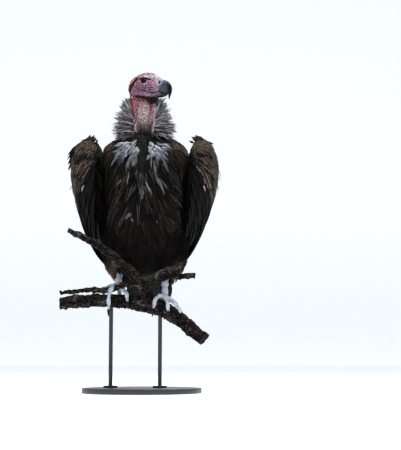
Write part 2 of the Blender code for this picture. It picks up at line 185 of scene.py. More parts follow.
def rows(*columns):
    """Numbers and arrays side by side, one row for each place."""
    return np.stack(np.broadcast_arrays(*columns), 1)


def random_source(step):
    return np.random.default_rng(sizes().seed * 101 + step)


def select_only(*objects):
    for obj in bpy.context.view_layer.objects:
        obj.select_set(False)
    for obj in objects:
        obj.select_set(True)
    bpy.context.view_layer.objects.active = objects[0]


def edit_all(obj, operation, **settings):
    """Runs one operator of edit mode on the whole of an object's mesh."""
    select_only(obj)
    bpy.ops.object.mode_set(mode="EDIT")
    bpy.ops.mesh.select_all(action="SELECT")
    operation(**settings)
    bpy.ops.object.mode_set(mode="OBJECT")


def smooth_shaded(obj, degrees):
    """Shades smooth over edges that bend by less than so many degrees."""
    select_only(obj)
    bpy.ops.object.shade_smooth_by_angle(angle=radians(degrees))


def copy_of(name):
    """A loose copy of a CAD node, with its triangles merged."""
    made = NODES[name].copy()
    made.data = NODES[name].data.copy()
    made.parent = None
    made.name = f"copy_{name}"
    for key in list(made.keys()):
        del made[key]
    bpy.context.scene.collection.objects.link(made)
    made.hide_render = False
    made.hide_viewport = False
    edit_all(made, bpy.ops.mesh.remove_doubles, threshold=0.00002)
    return made


def joined(name, *objects):
    select_only(*objects)
    bpy.ops.object.join()
    made = bpy.context.view_layer.objects.active
    made.name = name
    made.data.name = name
    return made


def listed(items, field, size=1, kind=np.int32):
    """One field of each item of a mesh, as a row of so many numbers."""
    flat = np.empty(len(items) * size, kind)
    items.foreach_get(field, flat)
    return flat.reshape(-1, size) if size > 1 else flat


def points_of(mesh):
    return listed(mesh.vertices, "co", 3, np.float32).astype(float)


def normals_of(mesh):
    return listed(mesh.vertex_normals, "vector", 3, np.float32).astype(float)


def put_points(mesh, points):
    mesh.vertices.foreach_set("co", points.astype(np.float32).ravel())
    mesh.update()


def swell(mesh, amount):
    """Moves each point along its normal, by one amount or by one for each point."""
    put_points(mesh, points_of(mesh) + normals_of(mesh) * np.reshape(amount, (-1, 1)))


def apply_modifier(obj, kind, **settings):
    select_only(obj)
    mod = obj.modifiers.new(kind.title(), kind)
    for key, value in settings.items():
        setattr(mod, key, value)
    bpy.ops.object.modifier_apply(modifier=mod.name)


def remesh(obj, size, smoothing):
    """One closed body of even squares, lightly smoothed."""
    select_only(obj)
    obj.data.remesh_voxel_size = size
    obj.data.remesh_voxel_adaptivity = 0.0
    bpy.ops.object.voxel_remesh()
    apply_modifier(obj, "SMOOTH", factor=0.5, iterations=smoothing)


def set_colour(mesh, name, values):
    layer = mesh.color_attributes.new(name, "FLOAT_COLOR", "POINT")
    rgba = np.ones((len(mesh.vertices), 4), np.float32)
    rgba[:, :3] = values
    layer.data.foreach_set("color", rgba.ravel())


def finish(obj, slot, *nodes):
    """Rides the piece on the body, and hides the CAD nodes that it stands for."""
    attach(obj, "root")
    if nodes:
        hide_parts(*nodes)
    return obj


def mesh_object(name, points, corners, sides, material):
    """A mesh from its points, the corners of its faces in one row, and how many sides each face has."""
    mesh = bpy.data.meshes.new(name)
    mesh.vertices.add(len(points))
    mesh.vertices.foreach_set("co", points.astype(np.float32).ravel())
    mesh.loops.add(len(corners))
    mesh.loops.foreach_set("vertex_index", corners.astype(np.int32))
    mesh.polygons.add(len(sides))
    starts = np.concatenate([[0], np.cumsum(sides)[:-1]])
    mesh.polygons.foreach_set("loop_start", starts.astype(np.int32))
    mesh.update(calc_edges=True)
    mesh.materials.append(material)
    made = bpy.data.objects.new(name, mesh)
    bpy.context.scene.collection.objects.link(made)
    return made


# ---------------------------------------------------------------- feathers


def rounded(along):
    """Half width of a rounded feather, as a share of the greatest."""
    swell_in = np.minimum(1, (along / 0.30 + 0.02) ** 0.6)
    return swell_in * np.sqrt(np.clip(1 - (np.clip(along - 0.55, 0, 1) / 0.46) ** 2.4, 0.0, 1))


def pointed(along):
    """Half width of a lance-shaped feather."""
    return np.minimum(1, (along / 0.42 + 0.02) ** 0.7) * np.clip((1.02 - along) / 0.60, 0, 1) ** 0.85


def straight(along):
    """Half width of a flight feather."""
    return np.minimum(1, (along / 0.12 + 0.02) ** 0.5) * np.clip((1.01 - along) / 0.14, 0, 1) ** 0.5


def blade(outline, steps, ragged, source, camber=0.16, thickness=0.05, curve=0.0):
    """A feather as a thin closed lens: for each corner its share along, across and up, the faces, and
    how far each corner is from the shaft, from -1 to 1. curve bends it to one side, in half widths."""
    along = np.linspace(0, 1, steps + 1)
    half = outline(along)
    wear = ragged * smooth_step(0.25, 0.6, along)
    left, right = (half * (1 - source.random(steps + 1) * wear) for _ in range(2))
    slip = ragged * 0.06
    bend = curve * source.uniform(-1, 1) * along**2
    rows = []
    for k in range(steps + 1):
        jolt = slip * (source.random(2) - 0.3) * (0 if k in (0, steps) else 1)
        top = camber * (half[k] * 0.8 + 0.1)
        rows.append([
            (along[k] - jolt[0], bend[k] - left[k], 0.0),
            (along[k], bend[k], top),
            (along[k] - jolt[1], bend[k] + right[k], 0.0),
            (along[k], bend[k], top - thickness),
        ])
    points = np.array(rows).reshape(-1, 3)
    faces = [(0, 1, 2, 3)]
    for k in range(steps):
        a, b = 4 * k, 4 * k + 4
        faces += [(a + i, b + i, b + (i + 1) % 4, a + (i + 1) % 4) for i in range(4)]
    last = 4 * steps
    faces.append((last + 3, last + 2, last + 1, last))
    return points, np.array(faces), np.tile((-1.0, 0.0, 1.0, 0.0), steps + 1)


def lock(spikes, steps, spread, waviness, source, width=0.10):
    """A tuft: closed three-sided spikes that fan out of one root, each with a wave of its own."""
    points, faces = [], []
    for s in range(spikes):
        side = (s + 0.5) / spikes * 2 - 1 + source.normal(0, 0.12)
        reach = 1 - 0.32 * abs(side) ** 1.5 - 0.18 * source.random()
        rise = source.normal(0, 0.25)
        phase, beat = source.random() * 2 * pi, 1.5 + 1.5 * source.random()
        base = len(points)
        for k in range(steps + 1):
            t = k / steps
            thick = width * (1 - t) ** 0.8 * min(1, 0.35 + 2.2 * t) + 0.006
            wave = waviness * sin(phase + beat * pi * t) * t
            across = side * spread * t ** 0.75 + wave
            up = rise * spread * 0.6 * t + waviness * 0.4 * cos(phase + 2 * t)
            points += [(reach * t, across - thick, up), (reach * t, across, up + thick * 0.9),
                       (reach * t, across + thick, up)]
        for k in range(steps):
            for i in range(3):
                a, b = base + 3 * k + i, base + 3 * k + (i + 1) % 3
                faces += [(a, a + 3, b + 3), (a, b + 3, b)]
        last = base + 3 * steps
        faces += [(base, base + 1, base + 2), (last + 2, last + 1, last)]
    return np.array(points), np.array(faces), np.tile((-0.8, 0.0, 0.8), spikes * (steps + 1))


class Coat:
    """Gathers feathers of many kinds, and makes one mesh of them."""

    def __init__(self, source):
        self.source = source
        self.points, self.faces, self.vane, self.root, self.corners = [], [], [], [], []
        self.base, self.rim = [], []
        self.count = 0

    def add(self, shapes, root, tip, up, bow, width, base, rim, twist=0.0):
        """Lays a feather from each root to each tip. bow lifts its middle; up is the way its top faces."""
        chosen = self.source.integers(0, len(shapes), len(root))
        width, bow, twist = (np.broadcast_to(value, len(root)) for value in (width, bow, twist))
        base, rim = (np.broadcast_to(value, (len(root), 3)) for value in (base, rim))
        for number, (shape, faces, flank) in enumerate(shapes):
            mine = np.flatnonzero(chosen == number)
            if not len(mine):
                continue
            u, v, w = shape[:, 0], shape[:, 1], shape[:, 2]
            start, end = root[mine][:, None], tip[mine][:, None]
            lift = unit(up[mine])[:, None]
            middle = (start + end) / 2 + lift * 2 * bow[mine][:, None, None]
            t = np.clip(u, 0, 1)[None, :, None]
            spine = (1 - t) ** 2 * start + 2 * t * (1 - t) * middle + t * t * end
            run = unit(2 * (1 - t) * (middle - start) + 2 * t * (end - middle))
            side = unit(np.cross(run, np.broadcast_to(lift, run.shape)))
            top = np.cross(side, run)
            angle = (twist[mine][:, None] * u[None, :])[..., None]
            side, top = side * np.cos(angle) + top * np.sin(angle), top * np.cos(angle) - side * np.sin(angle)
            half = width[mine][:, None, None] / 2
            placed = spine + side * (v[None, :, None] * half) + top * (w[None, :, None] * half)
            self.points.append(placed.reshape(-1, 3))
            corners = faces[None] + (self.count + np.arange(len(mine)) * len(shape))[:, None, None]
            self.faces.append(corners.reshape(-1, faces.shape[1]))
            self.count += len(mine) * len(shape)
            self.vane.append(np.tile(np.stack([flank, u], 1), (len(mine), 1)))
            self.root.append(root[mine])
            self.corners.append(np.full(len(mine), len(shape)))
            self.base.append(base[mine])
            self.rim.append(rim[mine])

    def lay(self, shapes, tree, points, flow, length, depth, lift, width, base, rim, twist=0.0, arch=0.0):
        """Lays feathers along a surface; arch lifts their middles a little more."""
        root, tip, top, bow = lay_on(tree, points, flow, length, depth, lift)
        self.add(shapes, root, tip, top, bow + arch, width, base, rim, twist)

    def make(self, name, material):
        """One mesh with the feathers' own map, the bake map, and the two colours of each feather."""
        sides = np.concatenate([np.full(len(f), f.shape[1]) for f in self.faces])
        corners = np.concatenate([f.ravel() for f in self.faces])
        made = mesh_object(name, np.concatenate(self.points), corners, sides, material)
        mesh = made.data
        vane = np.concatenate(self.vane)
        each = np.concatenate(self.corners)
        own = mesh.uv_layers.new(name="Vane")
        own.data.foreach_set("uv", (vane * (0.5, 1.0) + (0.5, 0.0))[corners].astype(np.float32).ravel())
        bake = mesh.uv_layers.new(name="OFBake")
        place = np.repeat(on_skin(np.concatenate(self.root)), each, axis=0)
        place = place + (vane * (0.5, 1.0) - (0.0, 0.5)) * sizes().patch
        bake.data.foreach_set("uv", np.clip(place, 0, 1)[corners].astype(np.float32).ravel())
        set_colour(mesh, "Base", np.repeat(np.concatenate(self.base), each, axis=0))
        set_colour(mesh, "Rim", np.repeat(np.concatenate(self.rim), each, axis=0))
        smooth_shaded(made, 50)
        return made


def tree_of(*names):
    """A search tree over the outer faces of some CAD nodes."""
    points, faces = [], []
    for name in names:
        mesh = NODES[name].data
        start = len(points)
        points += [v.co.copy() for v in mesh.vertices]
        faces += [[start + i for i in p.vertices] for p in mesh.polygons]
    return BVHTree.FromPolygons(points, faces)


def scattered(names, spacing, source, keep):
    """Places on some nodes' faces for which keep(places, normals) holds, no two closer than spacing."""
    picks, facing = [], []
    for name in names:
        mesh = NODES[name].data
        points = points_of(mesh)
        faces = np.array([p.vertices[:3] for p in mesh.polygons])
        a, b, c = points[faces[:, 0]], points[faces[:, 1]], points[faces[:, 2]]
        across = np.cross(b - a, c - a)
        area = np.linalg.norm(across, axis=1) / 2
        number = int(area.sum() / spacing**2 * 3)
        chosen = source.choice(len(faces), number, p=area / area.sum())
        r, s = source.random((2, number))
        turned = r + s > 1
        r, s = np.where(turned, 1 - r, r), np.where(turned, 1 - s, s)
        picks.append(a[chosen] + (b - a)[chosen] * r[:, None] + (c - a)[chosen] * s[:, None])
        facing.append(unit(across)[chosen])
    points = np.concatenate(picks)
    points = points[keep(points, np.concatenate(facing))]
    cells, taken = {}, []
    for i, p in enumerate(points):
        cell = tuple((p // spacing).astype(int))
        around = product(*(range(c - 1, c + 2) for c in cell))
        near = [j for place in around for j in cells.get(place, ())]
        if near and np.min(np.sum((points[near] - p) ** 2, axis=1)) < spacing**2:
            continue
        cells.setdefault(cell, []).append(i)
        taken.append(i)
    return points[taken]


def nearest(tree, points):
    """The nearest place on the tree's faces to each point, and its normal."""
    found = [tree.find_nearest(Vector(p)) for p in points]
    return np.array([f[0][:] for f in found]), np.array([f[1][:] for f in found])


def lay_on(tree, points, flow, length, depth, lift):
    """Root, tip, top and bow of feathers that lie along a surface, rooted under it by depth."""
    here, normal = nearest(tree, points)
    flat = unit(flow - normal * np.sum(flow * normal, axis=1, keepdims=True))
    length, depth, lift = (np.reshape(value, (-1, 1)) for value in (length, depth, lift))
    end, end_normal = nearest(tree, here + flat * length)
    half, half_normal = nearest(tree, here + flat * length * 0.5)
    root = here - normal * depth
    tip = end + end_normal * lift
    top = unit(normal + end_normal)
    want = half + half_normal * (lift - depth) * 0.35
    bow = np.sum((want - (root + tip) / 2) * top, axis=1)
    return root, tip, top, bow


# ---------------------------------------------------------------- materials


class Finish:
    """A node tree that ends in one Principled shader, with short calls for the nodes it needs."""

    def __init__(self, name, roughness, **fixed):
        self.material = bpy.data.materials.new(name)
        self.material.use_nodes = True
        self.tree = self.material.node_tree
        self.shader = self.tree.nodes["Principled BSDF"]
        self.shader.inputs["Roughness"].default_value = roughness
        for socket, value in fixed.items():
            self.shader.inputs[socket.replace("_", " ")].default_value = value

    def node(self, kind, links=(), **settings):
        made = self.tree.nodes.new(kind)
        for key, value in settings.items():
            setattr(made, key, value)
        for socket, source in dict(links).items():
            if hasattr(source, "is_output"):
                self.tree.links.new(source, made.inputs[socket])
            else:
                made.inputs[socket].default_value = source
        return made

    def math(self, operation, first, second=0.0, third=0.0):
        return self.node("ShaderNodeMath", {0: first, 1: second, 2: third}, operation=operation).outputs[0]

    def times(self, first, second):
        return self.math("MULTIPLY", first, second)

    def times_add(self, first, second, third):
        return self.math("MULTIPLY_ADD", first, second, third)

    def soft_step(self, low, high, value):
        limits = {"Value": value, "From Min": low, "From Max": high}
        return self.node("ShaderNodeMapRange", limits, interpolation_type="SMOOTHSTEP").outputs["Result"]

    def blend(self, share, first, second, kind="MIX"):
        inputs = {0: share, 6: first, 7: second}
        return self.node("ShaderNodeMix", inputs, data_type="RGBA", blend_type=kind).outputs[2]

    def shaded(self, tone, shade):
        """A tone made lighter or darker by one value for all three colours."""
        level = self.node("ShaderNodeCombineColor", {0: shade, 1: shade, 2: shade}).outputs[0]
        return self.blend(1.0, tone, level, "MULTIPLY")

    def attribute(self, name):
        return self.node("ShaderNodeAttribute", attribute_name=name).outputs["Color"]

    def place(self, scale=(1, 1, 1)):
        """Object coordinates, stretched."""
        coordinates = self.node("ShaderNodeTexCoord").outputs["Object"]
        return self.node("ShaderNodeMapping", {"Vector": coordinates, "Scale": scale}).outputs[0]

    def cloud(self, scale, detail=3.0, stretch=(1, 1, 1)):
        inputs = {"Vector": self.place(stretch), "Scale": scale, "Detail": detail}
        return self.node("ShaderNodeTexNoise", inputs).outputs["Fac"]

    def cells(self, scale, feature="F1", stretch=(1, 1, 1)):
        inputs = {"Vector": self.place(stretch), "Scale": scale}
        return self.node("ShaderNodeTexVoronoi", inputs, feature=feature).outputs["Distance"]

    def colour(self, source):
        self.tree.links.new(source, self.shader.inputs["Base Color"])

    def roughness(self, source):
        self.tree.links.new(source, self.shader.inputs["Roughness"])

    def relief(self, height, distance, strength=1.0):
        made = self.node("ShaderNodeBump", {"Height": height, "Distance": distance, "Strength": strength})
        self.tree.links.new(made.outputs[0], self.shader.inputs["Normal"])


def feather_finish(name, roughness, rim_from, barbs, shaft=0.0, sheen=0.0, tip_from=0.90):
    """Feathers: a rim of another colour from shares of half width and length on, a shaft, and fine barbs
    that slant off it."""
    f = Finish(name, roughness, Sheen_Weight=sheen, Specular_IOR_Level=0.06)
    uv = f.node("ShaderNodeUVMap", uv_map="Vane").outputs[0]
    apart = f.node("ShaderNodeSeparateXYZ", {0: uv})
    across = f.math("ABSOLUTE", f.times_add(apart.outputs[0], 2.0, -1.0))
    along = apart.outputs[1]
    edge = f.soft_step(rim_from, 0.98, across)
    tip = f.soft_step(tip_from, 1.0, along)
    start = f.soft_step(0.15, 0.45, along)
    share = f.times(f.math("MAXIMUM", edge, tip), start)
    body = f.blend(share, f.attribute("Base"), f.attribute("Rim"))
    line = f.math("SUBTRACT", 1.0, f.soft_step(0.02, 0.10, across))
    body = f.blend(f.times(line, shaft), body, f.attribute("Rim"))
    slant = f.math("SUBTRACT", along, f.times(across, 0.16))
    stripe = f.math("SINE", f.times(slant, barbs))
    mottle = f.cloud(260.0, 2.0)
    shade = f.times_add(stripe, 0.10, f.times_add(mottle, 0.5, 0.75))
    f.colour(f.shaded(body, shade))
    f.relief(stripe, 0.0004, 0.6)
    return f.material


def skin_finish():
    """Bare skin: its painted tones, mottled with pale and dark flecks, with a pebbled grain."""
    f = Finish("Bare skin", 0.60, Subsurface_Weight=0.05, Specular_IOR_Level=0.08)
    f.shader.inputs["Subsurface Radius"].default_value = (0.006, 0.002, 0.0015)
    grain = f.cells(430.0)
    fine = f.cloud(900.0, 3.0)
    wide = f.cloud(150.0, 4.0)
    shade = f.times_add(f.soft_step(0.30, 0.70, wide), 1.15, f.times_add(grain, 0.30, 0.30))
    tone = f.shaded(f.attribute("Tone"), shade)
    fleck = f.soft_step(0.53, 0.68, f.cloud(270.0, 4.0, (1.0, 1.0, 0.7)))
    light = f.soft_step(0.02, 0.14, f.node("ShaderNodeRGBToBW", {0: f.attribute("Tone")}).outputs[0])
    fleck = f.times(fleck, f.times(light, f.times(grain, 1.15)))
    tone = f.blend(fleck, tone, (0.74, 0.64, 0.66, 1))
    dark = f.soft_step(0.57, 0.68, f.cloud(165.0, 4.0, (0.8, 0.8, 1.1)))
    tone = f.blend(f.times(dark, f.times(light, 0.72)), tone, (0.17, 0.028, 0.065, 1))
    f.colour(tone)
    f.relief(f.times_add(fine, 0.4, grain), 0.0009, 0.8)
    return f.material


def leg_finish():
    """Scaled skin: wide scutes across the upper side of shanks and toes, and a net of scales elsewhere."""
    f = Finish("Scaled skin", 0.50, Specular_IOR_Level=0.30)
    apart = f.node("ShaderNodeSeparateColor", {0: f.attribute("Scute")})
    beat = f.math("FRACT", f.times_add(f.cloud(110.0, 2.0), 0.5, f.times(apart.outputs[0], 170.0)))
    upper = apart.outputs[1]
    band = f.soft_step(0.0, 0.20, beat)
    net = f.soft_step(0.0, 0.10, f.cells(330.0, "DISTANCE_TO_EDGE"))
    gap = f.times_add(upper, f.math("SUBTRACT", band, net), net)
    dust = f.cloud(90.0, 4.0)
    tone = f.blend(f.times_add(gap, 0.86, 0.14), (0.05, 0.053, 0.060, 1), f.attribute("Tone"))
    tone = f.blend(f.times(f.soft_step(0.5, 0.75, dust), 0.35), tone, (0.33, 0.31, 0.29, 1))
    f.colour(tone)
    step = f.times(upper, f.math("SUBTRACT", 1.0, beat))
    f.relief(f.math("ADD", gap, step), 0.0010, 0.9)
    return f.material


def under_finish():
    """The dark down under the coat."""
    f = Finish("Under down", 0.9, Specular_IOR_Level=0.1)
    f.colour(f.attribute("Tone"))
    f.relief(f.cloud(300.0, 3.0), 0.002, 0.6)
    return f.material


def horn_finish(name, roughness, fleck_scale):
    """Horn: long streaks and scratches, and fine flecks."""
    f = Finish(name, roughness, Specular_IOR_Level=0.14)
    streak = f.cloud(60.0, 4.0, (1.0, 1.0, 0.25))
    fleck = f.cloud(fleck_scale, 2.0)
    scratch = f.cloud(420.0, 3.0, (1.0, 1.0, 0.12))
    marks = f.times_add(fleck, 0.3, f.times_add(scratch, 0.9, -0.05))
    shade = f.times_add(streak, 0.9, marks)
    f.colour(f.shaded(f.attribute("Tone"), shade))
    f.roughness(f.times_add(streak, 0.25, roughness - 0.1))
    f.relief(f.math("ADD", streak, scratch), 0.0005, 0.6)
    return f.material


def eye_finish():
    """The glossy eyeball."""
    f = Finish("Eyeball", 0.10, Specular_IOR_Level=0.12)
    f.colour(f.attribute("Tone"))
    return f.material


def bark_finish():
    """Weathered bark: dark furrows, pale ridges and lichen."""
    f = Finish("Bark", 0.86, Specular_IOR_Level=0.08)
    grain = f.cloud(230.0, 6.0, (0.30, 1.0, 0.8))
    cracks = f.cells(190.0, "DISTANCE_TO_EDGE", (0.28, 1.0, 0.8))
    patch = f.soft_step(0.57, 0.63, f.cloud(120.0, 5.0, (0.5, 1.0, 1.0)))
    ridges = f.soft_step(0.35, 0.70, grain)
    shade = f.times_add(ridges, 1.3, f.times_add(f.soft_step(0.0, 0.12, cracks), 0.30, 0.05))
    tone = f.shaded(f.attribute("Tone"), shade)
    tone = f.blend(f.times(patch, 0.35), tone, (*colours("lichen"), 1.0))
    f.colour(tone)
    f.relief(f.math("ADD", grain, f.times(cracks, 2.0)), 0.003, 0.9)
    return f.material


def plain_finish(name, colour, roughness):
    """One even colour, for paint and paper."""
    f = Finish(name, roughness)
    f.shader.inputs["Base Color"].default_value = (*colour, 1.0)
    return f.material


# ---------------------------------------------------------------- the folded wing as a surface

# From the wrist down to the quill tips: front rim, outermost bulge and rear rim, as x, y, z on the
# bird's left, and then the wing's thickness there.
WING = np.array([
    (0.205, -0.072, 0.996, 0.224, -0.056, 1.006, 0.214, -0.025, 1.002, 0.014),
    (0.186, -0.105, 0.955, 0.244, -0.068, 0.968, 0.190, 0.075, 0.980, 0.046),
    (0.192, -0.112, 0.885, 0.264, -0.022, 0.890, 0.156, 0.160, 0.905, 0.050),
    (0.190, -0.086, 0.780, 0.258, 0.040, 0.780, 0.112, 0.218, 0.790, 0.040),
    (0.186, -0.028, 0.672, 0.228, 0.108, 0.664, 0.074, 0.262, 0.662, 0.028),
    (0.152, 0.066, 0.572, 0.178, 0.190, 0.556, 0.048, 0.312, 0.545, 0.020),
    (0.114, 0.200, 0.486, 0.126, 0.282, 0.472, 0.042, 0.362, 0.456, 0.012),
    (0.072, 0.358, 0.428, 0.076, 0.376, 0.422, 0.058, 0.396, 0.416, 0.004),
])
LEFT_DRAWN_IN = 0.027                  # how much closer to the legs the left wing hangs below its middle


def through(stations, t):
    """Places at t, from 0 to 1, on a smooth curve through evenly spaced stations."""
    last = len(stations) - 1
    at = np.clip(t, 0, 1) * last
    k = np.minimum(at.astype(int), last - 1)
    f = (at - k)[:, None]
    ends = np.vstack([2 * stations[0] - stations[1], stations, 2 * stations[-1] - stations[-2]])
    a, b, c, d = ends[k], ends[k + 1], ends[k + 2], ends[k + 3]
    return 0.5 * (2 * b + (c - a) * f + (2 * a - 5 * b + 4 * c - d) * f**2 + (3 * b - a - 3 * c + d) * f**3)


def wing_at(side, u, t, out=0.0):
    """Place and outward normal on a wing. u goes from the front rim to the rear rim, t from the wrist
    to the tips, and out is the height over the middle of the wing's thickness as a share of its half."""
    u, t = np.broadcast_arrays(np.asarray(u, float), np.asarray(t, float))
    s = through(WING, t)
    front, bulge, rear = s[:, 0:3], s[:, 3:6], s[:, 6:9]
    control = 2 * bulge - (front + rear) / 2
    w = u[:, None]
    here = front * (1 - w) ** 2 + control * 2 * w * (1 - w) + rear * w**2
    run = (control - front) * (1 - w) + (rear - control) * w
    normal = unit(np.stack([run[:, 1], -run[:, 0], np.zeros(len(run))], 1))
    half = s[:, 9] / 2 * np.maximum(0.12, np.sqrt(np.clip(1 - (2 * u - 1) ** 4, 0, 1)))
    here = here + normal * (half * out)[:, None]
    here[:, 0] -= LEFT_DRAWN_IN * (side > 0) * smooth_step(0.28, 0.74, t)
    flip = np.array([side, 1, 1])
    return here * flip + (BODY_X, 0, 0), normal * flip


def wing_core(name, side):
    """The bony middle of a wing, thinner than its feathers, from the wrist to the middle quills."""
    steps, around, thinnest = 14, 8, 0.011
    rings = []
    for t in np.linspace(0.05, 0.80, steps):
        u = np.linspace(0.10, 0.90, around)
        outer, inner = wing_at(side, u, t, 0.45)[0], wing_at(side, u, t, -0.55)[0]
        thick = np.linalg.norm(outer - inner, axis=1, keepdims=True)
        middle = (outer + inner) / 2
        half = (outer - inner) / thick * np.maximum(thick, thinnest) / 2
        rings.append(np.concatenate([middle + half, (middle - half)[::-1]]))
    points = np.concatenate(rings)
    ring = 2 * around
    quads = [(k * ring + i, (k + 1) * ring + i, (k + 1) * ring + (i + 1) % ring, k * ring + (i + 1) % ring)
             for k in range(steps - 1) for i in range(ring)]
    for base in (0, (steps - 1) * ring):
        last = base + ring - 1
        quads += [(base + i, base + i + 1, last - 1 - i, last - i) for i in range(around - 1)]
    sides = np.full(len(quads), 4)
    made = mesh_object(name, points, np.ravel(quads), sides, bpy.data.materials["Under down"])
    edit_all(made, bpy.ops.mesh.normals_make_consistent, inside=False)
    return made


# ---------------------------------------------------------------- markings shared by skin and coat


def plumage(points):
    """The colour of the coat over each place on the body, with painted shade on the flanks."""
    x, y, z = points[:, 0] - BODY_X, points[:, 1], points[:, 2]
    aside = np.abs(x)
    tone = mix(colours("breast"), colours("belly"), fall_off(0.62, 0.74, z))
    behind = smooth_step(-0.02, 0.06, y) * smooth_step(0.60, 0.75, z)
    tone = mix(tone, colours("back"), behind)
    # Painted shade: the flanks in front, under the wings, darkened to half
    shaded = smooth_step(0.100, 0.135, aside) * (y < 0.06) * fall_off(0.90, 0.94, z)
    tone = mix(tone, tone * 0.5, shaded)
    shoulder = smooth_step(0.90, 0.96, z) * smooth_step(0.085, 0.12, aside)
    tone = mix(tone, colours("back") * 1.3, shoulder)
    stripe = fall_off(0.018, 0.032, np.abs(points[:, 0])) * smooth_step(0.80, 0.86, z) * (y < -0.05)
    tone = mix(tone, colours("crop"), stripe)
    rust = smooth_step(0.105, 0.150, aside) * fall_off(0.46, 0.56, z)
    return mix(tone, colours("rust"), rust * 0.7)


def down_share(points):
    """Where the white down shows beside the crop, from 0 to 1."""
    x, z = np.abs(points[:, 0] - 0.001), points[:, 2]
    beside = bump_at(x, 0.062 + 0.25 * np.clip(0.97 - z, -0.05, 0.12), 0.040)
    return beside * smooth_step(0.84, 0.93, z) * fall_off(1.005, 1.03, z) * (points[:, 1] < -0.03)


def in_head(points):
    """Places in the head's own frame: forward of the eyes, up, and out to the side."""
    turned = np.array(HEAD_PLACE.inverted())
    local = points @ turned[:3, :3].T + turned[:3, 3]
    return -local[:, 1], local[:, 2], local[:, 0]


def path_distance(first, second, path):
    """Distance in a plane to a bent line."""
    best = np.full(len(first), 9.0)
    for (a, b), (c, d) in zip(path, path[1:]):
        run = np.array((c - a, d - b))
        share = np.clip(((first - a) * run[0] + (second - b) * run[1]) / (run @ run), 0, 1)
        best = np.minimum(best, np.hypot(first - a - share * run[0], second - b - share * run[1]))
    return best


# Lines on the side of the head, as distances forward of the eye and up
BROW = [(-0.026, 0.0105), (-0.012, 0.0165), (0.004, 0.0165), (0.020, 0.0120), (0.036, 0.0060)]
BROW_CREASE = [(-0.021, 0.0060), (-0.012, 0.0100), (0.000, 0.0098), (0.012, 0.0078), (0.024, 0.0040)]
MOUTH = [(0.064, -0.0400), (0.046, -0.0440), (0.028, -0.0455), (0.010, -0.0445), (-0.004, -0.0410)]
EAR = [(-0.034, 0.014), (-0.045, 0.002), (-0.055, -0.011), (-0.063, -0.023), (-0.070, -0.038)]
CHEEK_FOLDS = [
    [(-0.038, -0.002), (-0.020, -0.010), (-0.004, -0.0195)],
    [(-0.046, -0.016), (-0.034, -0.028), (-0.030, -0.046)],
    [(-0.030, -0.020), (-0.022, -0.030), (-0.018, -0.042)],
    [(0.034, -0.027), (0.012, -0.031), (-0.012, -0.028)],
    [(0.038, -0.035), (0.012, -0.038), (-0.014, -0.036)],
    [(0.006, -0.0185), (0.020, -0.016), (0.034, -0.020)],
    [(0.024, 0.014), (0.036, 0.010), (0.046, 0.004)],
    [(0.030, -0.0535), (0.008, -0.0530), (-0.018, -0.0500)],
]
CULMEN = [(0.088, 0.0025), (0.103, -0.0135), (0.107, -0.0390), (0.099, -0.0685)]
NOSTRIL = (0.0610, -0.0050)
SHADOW = (0.006, 0.005, 0.004)         # colour of the deepest hollows


def head_share(points):
    """1 on the head, 0 on the neck and beyond."""
    forward, up, side = in_head(points)
    near = np.sqrt((forward / 1.35) ** 2 + (up + 0.012) ** 2 + (side * 1.1) ** 2)
    return fall_off(0.062, 0.074, near)


def head_relief(points):
    """How far the bare skin stands out, or dips, at each place on the head."""
    forward, up, side = in_head(points)

    def line(path, reach, ahead=0.0, below=0.0):
        return bump_at(path_distance(forward - ahead, up + below, path), 0, reach)

    rise = 0.0032 * line(BROW, 0.0062)
    rise -= 0.0030 * line(BROW_CREASE, 0.0032)
    from_eye = np.hypot(forward, up)
    rise += 0.0021 * bump_at(from_eye, 0.0125, 0.0030)
    rise -= 0.0016 * bump_at(from_eye, 0.0170, 0.0036)
    rise -= 0.0040 * line(MOUTH, 0.0026)
    rise += 0.0016 * line(MOUTH, 0.0040, below=0.0045)
    rise += 0.0040 * line(EAR, 0.0052)
    rise -= 0.0032 * line(EAR, 0.0036, ahead=0.0065)
    for fold in CHEEK_FOLDS:
        rise -= 0.0018 * line(fold, 0.0026)
        rise += 0.0011 * line(fold, 0.0034, below=0.0042)
    rise *= smooth_step(0.010, 0.020, np.abs(side))
    hole = np.hypot((forward - NOSTRIL[0]) / 0.0038, (up - NOSTRIL[1]) / 0.0085)
    flank = smooth_step(0.006, 0.012, np.abs(side))
    rise -= 0.0070 * fall_off(0.4, 1.1, hole) * flank
    rise += 0.0012 * bump_at(hole, 1.55, 0.6) * flank
    top = smooth_step(0.024, 0.034, up)
    rise += 0.0012 * top * np.sin(forward * 520 + 3 * np.sin(side * 190)) * bump_at(forward, 0.010, 0.045)
    return rise * head_share(points)


# Ridges and grooves low on the neck, as turns from its front and half widths
LOW_RIDGES = ((-0.82, 0.12), (-0.44, 0.10), (0.70, 0.13))
LOW_GROOVES = ((-0.62, 0.09), (-1.06, 0.13), (0.50, 0.08), (0.98, 0.14))


def folds_at(turn, folds):
    """How much of a place around the neck belongs to folds, each a middle and a half width."""
    return np.max([bump_at(turn, middle, reach) for middle, reach in folds], axis=0)


def around_neck(points):
    """For each place: x and y from the neck's middle, z, the turn from its front, how far the upper
    pleats and the low ridges have swayed there, and its share in the low part."""
    x, y, z = points[:, 0] - NECK_X, points[:, 1] - NECK_Y, points[:, 2]
    pleat = 0.10 * np.sin(z * 40)
    ridge = 0.099 * np.sin(z * 90)
    return x, y, z, np.arctan2(x, -y), pleat, ridge, fall_off(1.05, 1.085, z)


